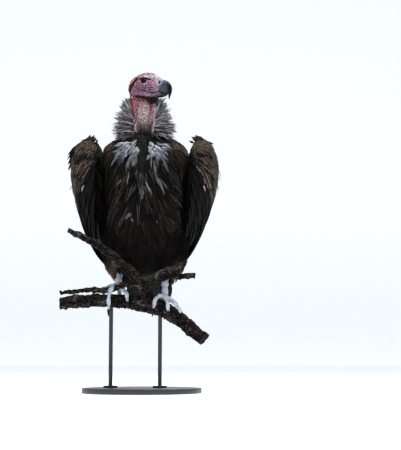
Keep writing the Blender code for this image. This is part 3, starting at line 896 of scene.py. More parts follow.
def neck_relief(points):
    """Loose folds down the bare neck, and the pleats of its hanging foot."""
    x, y, z, turn, pleat, ridge, low = around_neck(points)
    sway = 1.1 * np.sin(z * 46 + 1.3) + 0.6 * np.sin(z * 97)
    rise = 0.0022 * np.abs(np.sin(turn * 6.2 + sway)) ** 0.7
    high = smooth_step(1.03, 1.08, z)
    rise += 0.0062 * bump_at(turn, 0.82 + pleat, 0.20) * high
    rise -= 0.0052 * bump_at(turn, 0.50 + pleat, 0.16) * high
    fold = 0.12 * np.sin(z * 30 + 1)
    rise += 0.0040 * bump_at(turn, -0.80 + fold, 0.18)
    rise -= 0.0030 * bump_at(turn, -0.50 + fold, 0.13)
    ridges, grooves = folds_at(turn - ridge, LOW_RIDGES), folds_at(turn - ridge, LOW_GROOVES)
    rise += low * (0.0070 * ridges - 0.0050 * grooves)
    cells = np.sin(x * 560 + 3.0 * np.sin(z * 150)) * np.sin(z * 420 + 3.0 * np.sin(x * 210))
    rise += 0.0007 * cells * (1 - low)
    waist = fall_off(1.015, 1.135, z)
    rise -= waist * (0.013 * smooth_step(0.45, 1.25, -turn) + 0.008 * smooth_step(0.45, 1.25, turn))
    shown = smooth_step(0.985, 1.02, z) * fall_off(1.165, 1.190, z)
    return rise * shown * fall_off(0.062, 0.085, np.hypot(x, y))


def wrinkles(points):
    """Fine creases: short ones on the head, long upright ones on the neck."""
    share = head_share(points)
    rise = np.empty(len(points))
    for i, p in enumerate(points):
        if share[i] > 0.5:
            rise[i] = 0.0021 * (0.22 - abs(noise.noise(Vector(p * (95, 95, 150)))))
            rise[i] += 0.0011 * (0.2 - abs(noise.noise(Vector(p) * 260)))
        else:
            rise[i] = 0.0040 * (0.22 - abs(noise.noise(Vector(p * (105, 105, 62)))))
            rise[i] += 0.0014 * (0.2 - abs(noise.noise(Vector(p * (230, 230, 120)))))
    forward, up, _ = in_head(points)
    away = smooth_step(0.014, 0.019, np.hypot(forward, up)) * (1 - 0.9 * smooth_step(0.060, 0.070, forward))
    return rise * np.where(share > 0.5, away, 1) * smooth_step(0.985, 1.01, points[:, 2])


def face_tone(points):
    """Colours of the bare head, with painted shade in its creases, round the eye, in the nostril, low behind
    it and under the jaw.
    """
    forward, up, _ = in_head(points)
    pale, purple, olive, red = (colours(name) for name in ("pale", "purple", "olive", "red"))
    # Near black, for painted shade in creases and hollows
    dark = np.array((0.022, 0.008, 0.011))
    from_eye = np.hypot(forward, up)
    tone = mix(colours("pink"), pale, 0.85 * smooth_step(-0.004, 0.014, up - 0.15 * forward))

    def cover(colour, share):
        nonlocal tone
        tone = mix(tone, colour, share)

    def spot(colour, weight, ahead, ahead_reach, above, above_reach):
        cover(colour, weight * bump_at(forward, ahead, ahead_reach) * bump_at(up, above, above_reach))

    def line(colour, weight, path, reach, ahead=0.0):
        near = bump_at(path_distance(forward - ahead, up, path), 0, reach)
        cover(colour, weight * np.clip(1.6 * near, 0, 1))

    cover(pale * (0.95, 1.0, 1.05), 0.7 * smooth_step(0.026, 0.050, forward) * smooth_step(-0.020, 0.004, up))
    spot(purple * (1.5, 1.9, 1.6), 0.75, 0.034, 0.018, 0.004, 0.020)
    spot(purple * (1.35, 1.7, 1.5), 0.85, 0.020, 0.040, -0.030, 0.020)
    spot(purple * 0.75, 0.95, -0.016, 0.026, -0.040, 0.020)
    spot(red * (0.9, 0.8, 1.9), 0.60, -0.024, 0.018, -0.048, 0.014)
    spot(olive * 0.8, 0.95, -0.036, 0.020, -0.024, 0.014)
    spot(red * (1.1, 2.2, 2.2), 0.70, -0.018, 0.018, -0.004, 0.012)
    spot(pale * (0.95, 0.75, 0.80), 0.6, -0.028, 0.016, 0.014, 0.014)
    line(red, 0.80, CHEEK_FOLDS[0], 0.0045)
    cover(pale * (0.80, 0.72, 0.74), 0.85 * bump_at(from_eye, 0.0150, 0.0032) * (up < 0.004))
    line(red * (0.55, 0.4, 0.5), 0.9, BROW_CREASE, 0.0064)
    # Painted shade along the brow crease, and in the socket round the eyeball
    line(dark, 1.0, BROW_CREASE, 0.0046)
    cover(dark * 0.3, fall_off(0.0120, 0.0136, from_eye))
    line((0.20, 0.014, 0.022), 0.95, EAR, 0.0088, 0.0062)
    # Painted shade in the groove in front of the ear fold
    line(dark * 0.5, 0.95, EAR, 0.0038, 0.0054)
    line((0.060, 0.022, 0.055), 0.9, MOUTH, 0.0036)
    # Painted shade in the grooves of the cheek folds
    for fold in CHEEK_FOLDS:
        cover(tone * (0.42, 0.34, 0.42), 0.8 * bump_at(path_distance(forward, up, fold), 0, 0.0030))
    # Painted shadow, grey-olive, low on the back of the head
    rear = fall_off(-0.066, -0.050, forward)
    cover(olive * (0.50, 0.42, 0.40), 0.35 * rear * (up < 0.0))
    cover(tone * (0.80, 0.92, 0.95), fall_off(-0.015, 0.005, up))
    cere = smooth_step(0.046, 0.056, forward) * smooth_step(-0.030, -0.012, up)
    cover(pale * (0.60, 0.82, 0.98), 0.90 * cere)
    spot((0.150, 0.120, 0.070), 0.8, 0.064, 0.014, -0.036, 0.012)
    spot((0.240, 0.190, 0.290), 0.85, 0.022, 0.055, -0.0560, 0.011)
    cover(colours("horn") * 1.6, 0.85 * smooth_step(0.069, 0.076, forward - 0.42 * up))
    ahead, above = forward - NOSTRIL[0], up - NOSTRIL[1]
    cover(pale * 1.15, 0.8 * bump_at(np.hypot((ahead - 0.005) / 0.0035, (above + 0.005) / 0.005), 0, 1))
    # Painted shade: the hollow of the nostril, nearly black
    cover((0.004, 0.003, 0.004), fall_off(0.85, 1.15, np.hypot(ahead / 0.0032, above / 0.0072)))
    chin = up - 0.008 * smooth_step(0.010, 0.060, forward)
    below = fall_off(-0.067, -0.062, chin) * smooth_step(-0.060, -0.044, forward)
    cover(SHADOW, 0.97 * below)
    return tone


def throat_tone(points):
    """Colours of the bare neck, with painted shade under the jaw, in its low grooves, on the nape and round
    its foot.
    """
    _, _, z, turn, pleat, ridge, low = around_neck(points)
    pink, pale, red = colours("pink"), colours("pale"), colours("red")
    middle = bump_at(turn, 0.05, 0.75) * fall_off(1.11, 1.16, z)
    sac = fall_off(1.015, 1.060, z) * bump_at(turn, 0.05, 0.80)
    nape = smooth_step(1.7, 2.1, np.abs(turn)) * fall_off(1.10, 1.13, z)
    edge = 1.152 - 0.026 * smooth_step(-0.5, 0.5, turn) + 0.003 * np.sin(turn * 7 + 1)
    tone = pink * (0.95, 0.80, 0.82)
    for colour, share in (
        ((0.400, 0.330, 0.320), 0.75 * middle),
        (red * (1.2, 1.6, 1.5), 0.9 * fall_off(-0.95, -0.45, turn) * smooth_step(1.05, 1.10, z)),
        (pale * (0.95, 0.84, 0.84), 0.7 * bump_at(turn, 0.80 + pleat, 0.26)),
        (red * 0.8, 0.8 * bump_at(turn, 0.46 + pleat, 0.14) * smooth_step(1.04, 1.08, z)),
        ((0.120, 0.092, 0.074), 0.85 * fall_off(1.035, 1.080, z)),
        ((0.045, 0.034, 0.027), 0.85 * sac),
        (pale * (0.95, 0.84, 0.72), 0.95 * low * folds_at(turn - ridge, LOW_RIDGES)),
        # Painted shade in the low grooves
        ((0.020, 0.006, 0.006), 0.95 * low * folds_at(turn - ridge, LOW_GROOVES)),
        # Painted shade on the nape under the ruff, and round the foot of the neck where it goes into the coat
        ((0.030, 0.027, 0.027), 0.9 * nape),
        ((0.012, 0.010, 0.009), 0.9 * fall_off(1.006, 1.030, z)),
        (SHADOW, 0.97 * smooth_step(edge, edge + 0.012, z) * smooth_step(-1.25, -0.85, turn)),
    ):
        tone = mix(tone, colour, share)
    # Painted shade: a darker fringe below the jaw's shadow
    jaw_shade_fringe = smooth_step(edge - 0.022, edge, z) * smooth_step(-1.0, -0.4, turn)
    return mix(tone, tone * (0.45, 0.36, 0.36), 0.7 * jaw_shade_fringe)


def bare_tone(points):
    """Colours of the bare head and neck."""
    return mix(throat_tone(points) * (0.78, 0.86, 0.86), face_tone(points), head_share(points))


# ---------------------------------------------------------------- pieces


SKIN = {}                              # the finished skin's search tree, and its map at each face
LEGS = {                               # hock, and where the toes meet
    "right": ((-0.088, 0.052, 0.520), (-0.098, -0.010, 0.4175)),
    "left": ((0.088, 0.048, 0.490), (0.089, -0.008, 0.3730)),
}
CLAWS = [f"claw_{side}_{toe}" for side in SIDES for toe in ("middle", "inner", "outer", "hind")]
PERCH = ("perch_limb", "perch_fork", "perch_twig", "perch_knob")
ROD_RADIUS, FLANGE_HEIGHT = 0.008, 0.008


def on_skin(points):
    """The skin's own map at the face nearest to each point."""
    faces = [SKIN["tree"].find_nearest(Vector(p))[2] for p in points]
    return SKIN["map"][faces]


def ball(name, place, radius, rings=24):
    select_only(*bpy.context.view_layer.objects[:1])
    bpy.ops.mesh.primitive_uv_sphere_add(segments=rings * 2, ring_count=rings, radius=radius, location=place)
    return settled(name)


def settled(name):
    """The active object, named, with its place and turn put into its mesh."""
    made = bpy.context.view_layer.objects.active
    made.name = name
    made.data.name = name
    select_only(made)
    bpy.ops.object.transform_apply(location=True, rotation=True, scale=True)
    return made


def one_material(obj, material):
    obj.data.materials.clear()
    obj.data.materials.append(material)
    return obj


def rod_between(name, start, end, radius):
    bpy.ops.mesh.primitive_cylinder_add(
        vertices=24, radius=radius, depth=(end - start).length, location=start.lerp(end, 0.5),
        rotation=(end - start).to_track_quat("Z", "Y").to_euler(),
    )
    return settled(name)


def upright(name, middle, radius, height, corners):
    bpy.ops.mesh.primitive_cylinder_add(vertices=corners, radius=radius, depth=height, location=middle)
    return settled(name)


def cut_off(obj, place, direction):
    """Closes an object at a plane of the head's own frame, and drops what lies beyond it."""
    beyond = (HEAD_PLACE.to_3x3() @ Vector(direction)).normalized()
    edit_all(obj, bpy.ops.mesh.bisect, plane_co=HEAD_PLACE @ Vector(place), plane_no=beyond,
             use_fill=True, clear_outer=True)


def keep_top_shell(obj):
    """Drops every loose shell but the one that reaches highest."""
    high = points_of(obj.data)[:, 2].argmax()
    select_only(obj)
    bpy.ops.object.mode_set(mode="EDIT")
    bpy.ops.mesh.select_mode(type="VERT")
    bpy.ops.mesh.select_all(action="DESELECT")
    bpy.ops.object.mode_set(mode="OBJECT")
    obj.data.vertices[int(high)].select = True
    bpy.ops.object.mode_set(mode="EDIT")
    bpy.ops.mesh.select_linked()
    bpy.ops.mesh.select_all(action="INVERT")
    bpy.ops.mesh.delete(type="VERT")
    bpy.ops.object.mode_set(mode="OBJECT")


def unite(target, other):
    """Joins another closed body to the target, and keeps the materials of both."""
    apply_modifier(target, "BOOLEAN", operation="UNION", object=other, solver="MANIFOLD",
                   material_mode="TRANSFER")
    bpy.data.objects.remove(other)


SUNK = {"trunk": 1.0, "crop": 0.6, "thigh_left": 0.9, "thigh_right": 0.9, "tail": 0.25}


def body_under_coat():
    """Trunk, thighs, tail root and the cores of the wings, sunk under the coat by shares of its depth."""
    parts = []
    for name, share in SUNK.items():
        part = copy_of(name)
        swell(part.data, -sizes().coat_depth * share)
        parts.append(part)
    for word, side in SIDES.items():
        parts.append(wing_core(f"core_{word}", side))
        joint = Vector(wing_at(side, [0.62], [0.22])[0][0])
        shoulder = Vector((BODY_X + side * 0.05, 0.07, joint.z - 0.02))
        parts.append(rod_between("arm", shoulder, joint, 0.020))
    body = joined("skin", *parts)
    remesh(body, size=0.0075, smoothing=3)
    return one_material(body, bpy.data.materials["Under down"])


def head_and_neck():
    """The bare head and neck, with skin over the roots of both halves of the bill."""
    parts = [copy_of("head"), copy_of("neck")]
    for name in ("eye_left", "eye_right"):
        parts.append(ball("socket", node_middle(name), 0.0100))
    cere, lip = copy_of("bill_upper"), copy_of("bill_lower")
    swell(cere.data, 0.0011)
    cut_off(cere, (0, -0.0735, -0.0060), (0, -1, -0.42))
    swell(lip.data, 0.0010)
    cut_off(lip, (0, -0.0660, -0.0500), (0, -1, 0.35))
    parts += [lip, cere, ball("neck_root", (0.004, -0.078, 1.004), 0.046)]
    head = joined("head_skin", *parts)
    remesh(head, size=0.0017, smoothing=4)
    return one_material(head, bpy.data.materials["Bare skin"])


def leg(word):
    hock, sole = (Vector(place) for place in LEGS[word])
    run = sole - hock
    start = hock - run * 0.45
    parts = [copy_of(f"tarsus_{word}"), copy_of(f"foot_{word}")]
    select_only(parts[0])
    bpy.ops.mesh.primitive_cone_add(
        vertices=20, radius1=0.0190, radius2=0.0125, depth=(sole - start).length * 0.90,
        location=start.lerp(sole, 0.45), rotation=run.to_track_quat("Z", "Y").to_euler(),
    )
    parts.append(settled("shank"))
    made = joined(f"leg_{word}", *parts)
    remesh(made, size=0.0028, smoothing=2)
    return one_material(made, bpy.data.materials["Scaled skin"])


def along_leg(points):
    """How far each place is from where its own leg's toes meet."""
    out = np.zeros(len(points))
    for word, (_, sole) in LEGS.items():
        near = np.sign(points[:, 0]) == SIDES[word]
        out[near] = np.linalg.norm(points[near] - np.array(sole), axis=1)
    return out


KNUCKLE_BEAT = 205                     # radians to a metre along shanks and toes


def leg_relief(points, normals):
    """Knuckles along the toes, and pads under them."""
    out = along_leg(points)
    knuckle = 0.0014 * np.cos(out * KNUCKLE_BEAT) * smooth_step(0.012, 0.030, out)
    under = fall_off(-0.45, -0.15, normals[:, 2] - 0.4 * normals[:, 1])
    return knuckle + 0.0012 * under * np.abs(np.sin(out * 102)) - 0.0010


def leg_tone(points, normals):
    """Pale scutes with darker joints, and painted shade on the sides that face down and back."""
    fold = bump_at(np.mod(along_leg(points) * KNUCKLE_BEAT / (2 * pi), 1.0), 0.5, 0.16)
    tone = mix(colours("leg"), colours("leg") * 0.40, 0.6 * fold)
    # Painted shade on the sides that face down and back
    under = fall_off(-0.75, 0.05, normals[:, 2] - 0.5 * normals[:, 1])
    return mix(tone, tone * (0.30, 0.28, 0.26), 0.8 * under)


def points_of_kind(mesh, kind):
    """Which points belong to faces of one material."""
    flag = np.zeros(len(mesh.vertices), bool)
    of_face = listed(mesh.polygons, "material_index")
    for p in np.flatnonzero(of_face == mesh.materials.find(kind)):
        flag[list(mesh.polygons[p].vertices)] = True
    return flag


def keep_skin_map(mesh):
    """Notes the skin's search tree and bake map, which the coats over it share."""
    corners = listed(mesh.uv_layers[0].data, "uv", 2, np.float32)
    SKIN["map"] = corners[listed(mesh.polygons, "loop_start")].astype(float)
    SKIN["tree"] = BVHTree.FromPolygons([v.co for v in mesh.vertices], [p.vertices[:] for p in mesh.polygons])


class VULTURE_OT_skin(Operator):
    """Makes one closed skin over all the flesh: the body under its coat, bare head and neck, and legs"""

    bl_idname = "vulture.skin"
    bl_label = "Skin"

    def execute(self, context):
        under_finish()
        skin_finish()
        leg_finish()
        skin = body_under_coat()
        unite(skin, head_and_neck())
        for word in SIDES:
            unite(skin, leg(word))
        keep_top_shell(skin)
        mesh = skin.data
        points, normals = points_of(mesh), normals_of(mesh)
        bare, scaled = points_of_kind(mesh, "Bare skin"), points_of_kind(mesh, "Scaled skin")
        creases = wrinkles(points[bare])
        rise = np.zeros(len(points))
        rise[bare] = head_relief(points[bare]) + neck_relief(points[bare]) + creases
        rise[scaled] = leg_relief(points[scaled], normals[scaled])
        tone = mix(plumage(points) * 0.8, colours("down") * 0.30, 0.9 * down_share(points))
        # Painted shade: the under-down out at the flanks, arms and wing cores, darkened nearly to black
        tone = mix(tone, tone * 0.12, smooth_step(0.138, 0.155, np.abs(points[:, 0] - BODY_X)))
        # Painted shade in the creases of the bare skin
        deep = fall_off(-0.0012, 0.0004, creases)
        tone[bare] = bare_tone(points[bare]) * (1 - 0.5 * deep[:, None] * (0.8, 1.0, 1.0))
        tone[scaled] = leg_tone(points[scaled], normals[scaled])
        put_points(mesh, points + normals * rise[:, None])
        set_colour(mesh, "Tone", tone)
        upper = smooth_step(-0.10, 0.35, 0.8 * normals[:, 2] - 0.8 * normals[:, 1])
        set_colour(mesh, "Scute", rows(along_leg(points), upper, 0.0))
        mesh.shade_smooth()
        edit_all(skin, bpy.ops.uv.smart_project, angle_limit=radians(66), island_margin=0.001)
        skin.data.uv_layers[0].name = "OFBake"
        keep_skin_map(skin.data)
        finish(skin, "skin_pink", "trunk", "crop", "head", "neck", "thigh_left", "thigh_right",
               "tarsus_left", "tarsus_right", "foot_left", "foot_right")
        return {"FINISHED"}


class VULTURE_OT_eyes(Operator):
    """Sets two glossy eyeballs with dark brown irises"""

    bl_idname = "vulture.eyes"
    bl_label = "Eyes"

    def execute(self, context):
        material = eye_finish()
        black, brown = (0.004, 0.003, 0.003), (0.006, 0.0035, 0.0025)
        for word, side in SIDES.items():
            eye = ball(f"eye_{word}_globe", node_middle(f"eye_{word}"), sizes().eye_size / 2, 32)
            one_material(eye, material)
            forward, up, aside = in_head(points_of(eye.data))
            inner_half = (aside * side) - np.mean(aside * side) <= 0
            from_axis = np.hypot(forward - np.mean(forward), up - np.mean(up)) + np.where(inner_half, 0.02, 0)
            iris = mix(black, brown, smooth_step(0.0034, 0.0042, from_axis))
            set_colour(eye.data, "Tone", mix(iris, black, smooth_step(0.0066, 0.0078, from_axis)))
            eye.data.shade_smooth()
            finish(eye, "eye", f"eye_{word}")
        return {"FINISHED"}


class VULTURE_OT_bill(Operator):
    """Makes the hooked bill in two halves, with its ridge and its cutting edge"""

    bl_idname = "vulture.bill"
    bl_label = "Bill"

    def execute(self, context):
        material = horn_finish("Horn", roughness=0.46, fleck_scale=900.0)
        horn = colours("horn")
        for name in ("bill_upper", "bill_lower"):
            bill = copy_of(name)
            remesh(bill, size=0.0010, smoothing=6)
            bill.name = bill.data.name = f"{name}_horn"
            one_material(bill, material)
            upper = name == "bill_upper"
            forward, up, side = in_head(points_of(bill.data))
            rise = 0.0006 + 0.0006 * bump_at(up, -0.041, 0.004) * upper
            rise = rise - 0.0006 * bump_at(np.abs(side), 0.0075, 0.004) * smooth_step(-0.02, 0.0, up)
            swell(bill.data, rise)
            root = fall_off(0.070, 0.094, forward) * fall_off(-0.036, -0.014, up)
            near_ridge = bump_at(path_distance(forward, up, CULMEN), 0, 0.0190)
            ridge = near_ridge * smooth_step(0.082, 0.092, forward)
            tone = mix(horn, horn * 1.7, 0.8 * bump_at(forward, 0.072, 0.018) * smooth_step(-0.020, 0.0, up))
            tone = mix(tone, (0.105, 0.078, 0.060), 0.75 * root)
            tone = mix(tone, horn * 1.5, 0.6 * bump_at(forward, 0.086, 0.012) * bump_at(up, -0.016, 0.022))
            tone = mix(tone, horn * 0.06, np.clip(ridge * 1.5, 0, 1))
            tone = mix(tone, horn * 0.06, fall_off(-0.060, -0.046, up) * upper)
            tone = mix(tone, (0.016, 0.013, 0.011), np.full(len(up), 0.0 if upper else 0.85))
            set_colour(bill.data, "Tone", tone)
            bill.data.shade_smooth()
            finish(bill, "horn", name)
        return {"FINISHED"}


class VULTURE_OT_claws(Operator):
    """Smooths the eight hooked claws"""

    bl_idname = "vulture.claws"
    bl_label = "Claws"

    def execute(self, context):
        claws = joined("claws", *[copy_of(name) for name in CLAWS])
        apply_modifier(claws, "SUBSURF", levels=2, render_levels=2)
        swell(claws.data, 0.0013)
        one_material(claws, horn_finish("Claw", roughness=0.32, fleck_scale=700.0))
        claws.name = claws.data.name = "claws_horn"
        set_colour(claws.data, "Tone", colours("claw"))
        claws.data.shade_smooth()
        finish(claws, "claw", *CLAWS)
        return {"FINISHED"}


class VULTURE_OT_perch(Operator):
    """Makes the cut branch that the bird grips, with its bark"""

    bl_idname = "vulture.perch"
    bl_label = "Branch"

    def execute(self, context):
        perch = joined("branch", *[copy_of(name) for name in PERCH])
        remesh(perch, size=0.0026, smoothing=2)
        one_material(perch, bark_finish())
        points, normals = points_of(perch.data), normals_of(perch.data)
        rise, shade = np.empty((2, len(points)))
        for i, p in enumerate(points):
            lump = noise.noise(Vector(p) * 24.0) + 0.6 * noise.noise(Vector(p) * 61.0)
            ridge = noise.noise(Vector(p * (34, 110, 110)))
            fine = noise.noise(Vector(p * (130, 250, 250)))
            knob = max(0, noise.noise(Vector(p) * 78.0) - 0.15)
            rise[i] = 0.0046 * lump + 0.0042 * (0.35 - abs(ridge)) + 0.0016 * fine + 0.009 * knob
            shade[i] = 0.5 + 0.55 * lump + 0.9 * (0.25 - abs(ridge)) + 0.5 * fine
        swell(perch.data, rise - 0.0012)
        # Paler where lumps and ridges weather, and a painted light on the upper side of the branch
        top = smooth_step(-0.2, 0.9, normals[:, 2])
        pale = np.clip(smooth_step(0.50, 1.15, shade) * 0.95 + 0.12 * top, 0, 1)
        set_colour(perch.data, "Tone", mix(colours("bark"), colours("lichen"), pale))
        perch.data.shade_smooth()
        finish(perch, "bark", *PERCH)
        return {"FINISHED"}


class VULTURE_OT_stand(Operator):
    """Makes the plain round base and the two rods that carry the branch"""

    bl_idname = "vulture.stand"
    bl_label = "Display stand"

    def execute(self, context):
        material = plain_finish("Stand paint", colours("stand"), roughness=0.42)
        low, high = (Vector(corner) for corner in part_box("stand_base"))
        select_only(*context.view_layer.objects[:1])
        height = (low.z + high.z) / 2
        base = upright("stand_plate", (0, 0, height), (high.x - low.x) / 2, high.z - low.z, 160)
        apply_modifier(base, "BEVEL", width=0.003, segments=3, limit_method="ANGLE")
        smooth_shaded(base, 30)
        finish(one_material(base, material), "stand_paint", "stand_base")
        for name in ("stand_rod_left", "stand_rod_right"):
            low, high = (Vector(corner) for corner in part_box(name))
            middle = (low + high) / 2
            rod = upright(f"{name}_tube", middle, ROD_RADIUS, high.z - low.z, 48)
            foot = (middle.x, middle.y, low.z + FLANGE_HEIGHT / 2)
            flange = upright("flange", foot, (high.x - low.x) / 2, FLANGE_HEIGHT, 64)
            apply_modifier(flange, "BEVEL", width=0.002, segments=3, limit_method="ANGLE")
            unite(rod, flange)
            smooth_shaded(rod, 30)
            finish(one_material(rod, material), "stand_paint", name)
        return {"FINISHED"}


# ---------------------------------------------------------------- coats


def shapes_of(outline, steps, ragged, source, count=5, **settings):
    return [blade(outline, steps, ragged, source, **settings) for _ in range(count)]


def locks_of(spikes, steps, spread, waviness, source, count=5, **settings):
    return [lock(spikes, steps, spread, waviness, source, **settings) for _ in range(count)]


def varied(source, colour, spread, count):
    """A colour for each of so many feathers, lighter or darker by up to spread."""
    return colour * (1 + spread * source.uniform(-1, 1, (count, 1)))


def breast_flow(points):
    """Down, and outwards from the crop."""
    x = points[:, 0] - 0.002
    angle = radians(36) * np.tanh(x / 0.040) * smooth_step(0.56, 0.70, points[:, 2])
    angle += radians(10) * np.tanh(x / 0.10)
    behind = smooth_step(0.0, 0.10, points[:, 1])
    return unit(mix(rows(np.sin(angle), 0.0, -np.cos(angle)), (0.0, 0.42, -1.0), behind))


COAT_TOP = 1.012                       # no feathers of the breast are rooted above this

BREAST_LAYERS = (  # spacing, spread of the flow, share of the usual length, how much higher the tips lie
    (0.0175, 0.14, 0.75, 0.0),
    (0.0190, 0.09, 1.1, 0.001),
    (0.0235, 0.11, 1.65, 0.003),
)


class VULTURE_OT_breast(Operator):
    """Lays the long pointed feathers of the breast over a dark under layer"""

    bl_idname = "vulture.breast"
    bl_label = "Breast feathers"

    def execute(self, context):
        source = random_source(1)
        tree = tree_of("trunk", "crop")
        coat = Coat(source)
        under = locks_of(6, 4, 0.20, 0.05, source, width=0.055)
        lances = shapes_of(pointed, 10, 0.22, source, 10, curve=2.2)
        for layer, (spacing, spread, longer, higher) in enumerate(BREAST_LAYERS):
            lowest = 0.62 + 0.03 * layer
            points = scattered(
                ["trunk"], spacing, source,
                lambda p, n: (n[:, 1] < 0.35) & (p[:, 1] < 0.06) & (p[:, 2] > lowest) & (p[:, 2] < COAT_TOP),
            )
            count = len(points)
            aside = smooth_step(0.100, 0.135, np.abs(points[:, 0] - BODY_X))
            flow = breast_flow(points) + source.normal(0, spread, (count, 3))
            length = sizes().breast_length * source.uniform(0.8, 1.25, count) * longer
            length *= 1 - 0.35 * smooth_step(0.94, 1.0, points[:, 2])
            depth = sizes().coat_depth * source.uniform(0.55, 0.75, count)
            lift = source.uniform(-0.0035, 0.0015, count) + higher
            base = varied(source, plumage(points), 0.4, count)
            # Pale rims high on the breast; on the flanks under the wings they fade out as painted shade
            upper = smooth_step(0.64, 0.78, points[:, 2]) * (1 - 0.85 * aside)
            strength = (0.04 + 1.0 * source.random(count) ** 2.6) * (0.08 + 0.92 * upper)
            rim = colours("breast_rim") * strength[:, None] + base * 0.6
            if layer == 0:
                coat.lay(under, tree, points, flow, length, depth, lift, length * 2, base, base * 1.6,
                         source.normal(0, 0.2, count))
            else:
                width = sizes().breast_width * source.uniform(0.55, 0.95, count)
                coat.lay(lances, tree, points, flow, length, depth, lift, width, base, rim,
                         source.normal(0, 0.16, count))
        material = feather_finish("Breast feathers", roughness=0.60, shaft=0.22, rim_from=0.52, barbs=260.0)
        finish(coat.make("breast_coat", material), "feather_dark")
        return {"FINISHED"}


BACK_WIDTH = 0.034


class VULTURE_OT_back(Operator):
    """Lays the rounded feathers of the shoulders, back and rump"""

    bl_idname = "vulture.back"
    bl_label = "Back feathers"

    def execute(self, context):
        source = random_source(2)
        tree = tree_of("trunk")
        points = scattered(
            ["trunk"], 0.0175, source,
            lambda p, n: (p[:, 1] > 0.035) | ((n[:, 2] > 0.45) & (p[:, 2] > 0.93)),
        )
        count = len(points)
        x = points[:, 0] - BODY_X
        front = points[:, 1] < 0.02
        flow = np.where(front[:, None], rows(x * 9, -0.25, -1.0), rows(x * 1.5, 0.55, -1.0))
        flow = unit(flow) + source.normal(0, 0.10, (count, 3))
        length = sizes().back_length * source.uniform(0.8, 1.15, count)
        length = np.where(front, length * 0.62, length)
        depth = sizes().coat_depth * source.uniform(0.55, 0.75, count)
        lift = source.uniform(-0.003, 0.001, count)
        base = varied(source, plumage(points), 0.30, count)
        high = smooth_step(0.86, 0.98, points[:, 2])[:, None]
        beside = smooth_step(0.055, 0.105, np.abs(x))[:, None]
        rim = (colours("rust") * 0.25 * high + colours("covert_rim") * (0.30 + 0.3 * high)) * beside
        rim = rim * source.uniform(0.5, 1.2, (count, 1)) + base * 0.5
        shapes = shapes_of(rounded, 8, 0.14, source)
        width = BACK_WIDTH * source.uniform(0.85, 1.15, count) * np.where(front, 0.7, 1.0)
        coat = Coat(source)
        coat.lay(shapes, tree, points, flow, length, depth, lift, width, base, rim,
                 source.normal(0, 0.08, count))
        material = feather_finish("Back feathers", roughness=0.60, shaft=0.20, rim_from=0.62, barbs=240.0)
        finish(coat.make("back_coat", material), "feather_dark")
        return {"FINISHED"}


class VULTURE_OT_belly(Operator):
    """Lays the soft dark feathers of belly and thighs"""

    bl_idname = "vulture.belly"
    bl_label = "Belly and thighs"

    def execute(self, context):
        source = random_source(3)
        flesh = ("trunk", "thigh_left", "thigh_right")

        def below(p, n):
            in_front = (n[:, 1] < 0.6) | (p[:, 2] < 0.63)
            clear_of_tail = (p[:, 1] < 0.17) | (n[:, 2] < -0.2)
            return (p[:, 2] < 0.655) & in_front & clear_of_tail

        points = scattered(flesh, 0.0135, source, below)
        count = len(points)
        aside, height = points[:, 0] - BODY_X, points[:, 2]
        flow = rows(np.where(height < 0.5, -aside * 0.6, aside * 0.2), 0.10, -1.0)
        flow = unit(flow) + source.normal(0, 0.14, (count, 3))
        length = sizes().belly_length * source.uniform(0.7, 1.15, count)
        length *= 1 - 0.45 * fall_off(0.44, 0.52, height)
        depth = sizes().coat_depth * source.uniform(0.5, 0.8, count)
        lift = source.uniform(-0.003, 0.003, count)
        base = varied(source, plumage(points), 0.45, count)
        rust = smooth_step(0.100, 0.150, np.abs(aside)) * fall_off(0.45, 0.57, height)
        rim = base * 1.5 + colours("rust") * (rust * 0.5)[:, None]
        tufts = locks_of(6, 4, 0.20, 0.05, source, width=0.055)
        coat = Coat(source)
        coat.lay(tufts, tree_of(*flesh), points, flow, length, depth, lift, length * 2, base, rim,
                 source.normal(0, 0.2, count))
        material = feather_finish("Belly feathers", roughness=0.75, rim_from=0.70, barbs=60.0)
        finish(coat.make("belly_coat", material), "trouser")
        return {"FINISHED"}


WISPS = (  # a grey tuft under the crop, and wisps low on the breast: x, z, how many, lean, length, tone
    (0.002, 0.826, 9, 0.0, 0.036, 0.16),
    (0.002, 0.798, 7, 0.02, 0.032, 0.22),
    (0.002, 0.775, 5, 0.0, 0.030, 0.34),
    (0.001, 0.758, 3, 0.0, 0.024, 0.50),
    (0.018, 0.826, 2, 0.05, 0.060, 0.55),
    (-0.072, 0.668, 2, -0.80, 0.030, 0.42),
    (-0.058, 0.668, 2, 0.20, 0.030, 0.50),
    (0.072, 0.660, 1, 0.35, 0.026, 0.25),
    (-0.062, 0.850, 2, -0.25, 0.070, 0.45),
    (0.062, 0.850, 2, 0.60, 0.085, 0.60),
    (-0.082, 0.828, 1, -0.60, 0.060, 0.35),
    (0.095, 0.812, 1, 0.80, 0.070, 0.35),
)
LONG_WISP = 0.058                      # wisps longer than this are of the thin kind


def crop_feathers(source, tree):
    """The short dark feathers down the middle of the crop."""

    def middle(p, n):
        half = 0.023 + 0.6 * np.clip(p[:, 2] - 0.968, 0, 0.05) + source.uniform(-0.005, 0.005, len(p))
        return (n[:, 1] < 0.3) & (np.abs(p[:, 0] - NECK_X) < half)

    points = scattered(["crop"], 0.0062, source, middle)
    count = len(points)
    flow = rows(points[:, 0] * 2, 0.0, -1.0) + source.normal(0, 0.14, (count, 3))
    length = source.uniform(0.020, 0.032, count)
    lift = source.uniform(-0.001, 0.003, count)
    base = varied(source, colours("crop"), 0.5, count)
    tufts = locks_of(5, 3, 0.22, 0.05, source, width=0.07)
    coat = Coat(source)
    coat.lay(tufts, tree, points, flow, length, 0.004, lift, length * 2, base, base * 1.8,
             source.normal(0, 0.2, count))
    material = feather_finish("Crop feathers", roughness=0.85, rim_from=0.80, barbs=60.0, sheen=0.1)
    finish(coat.make("crop_coat", material), "feather_dark")


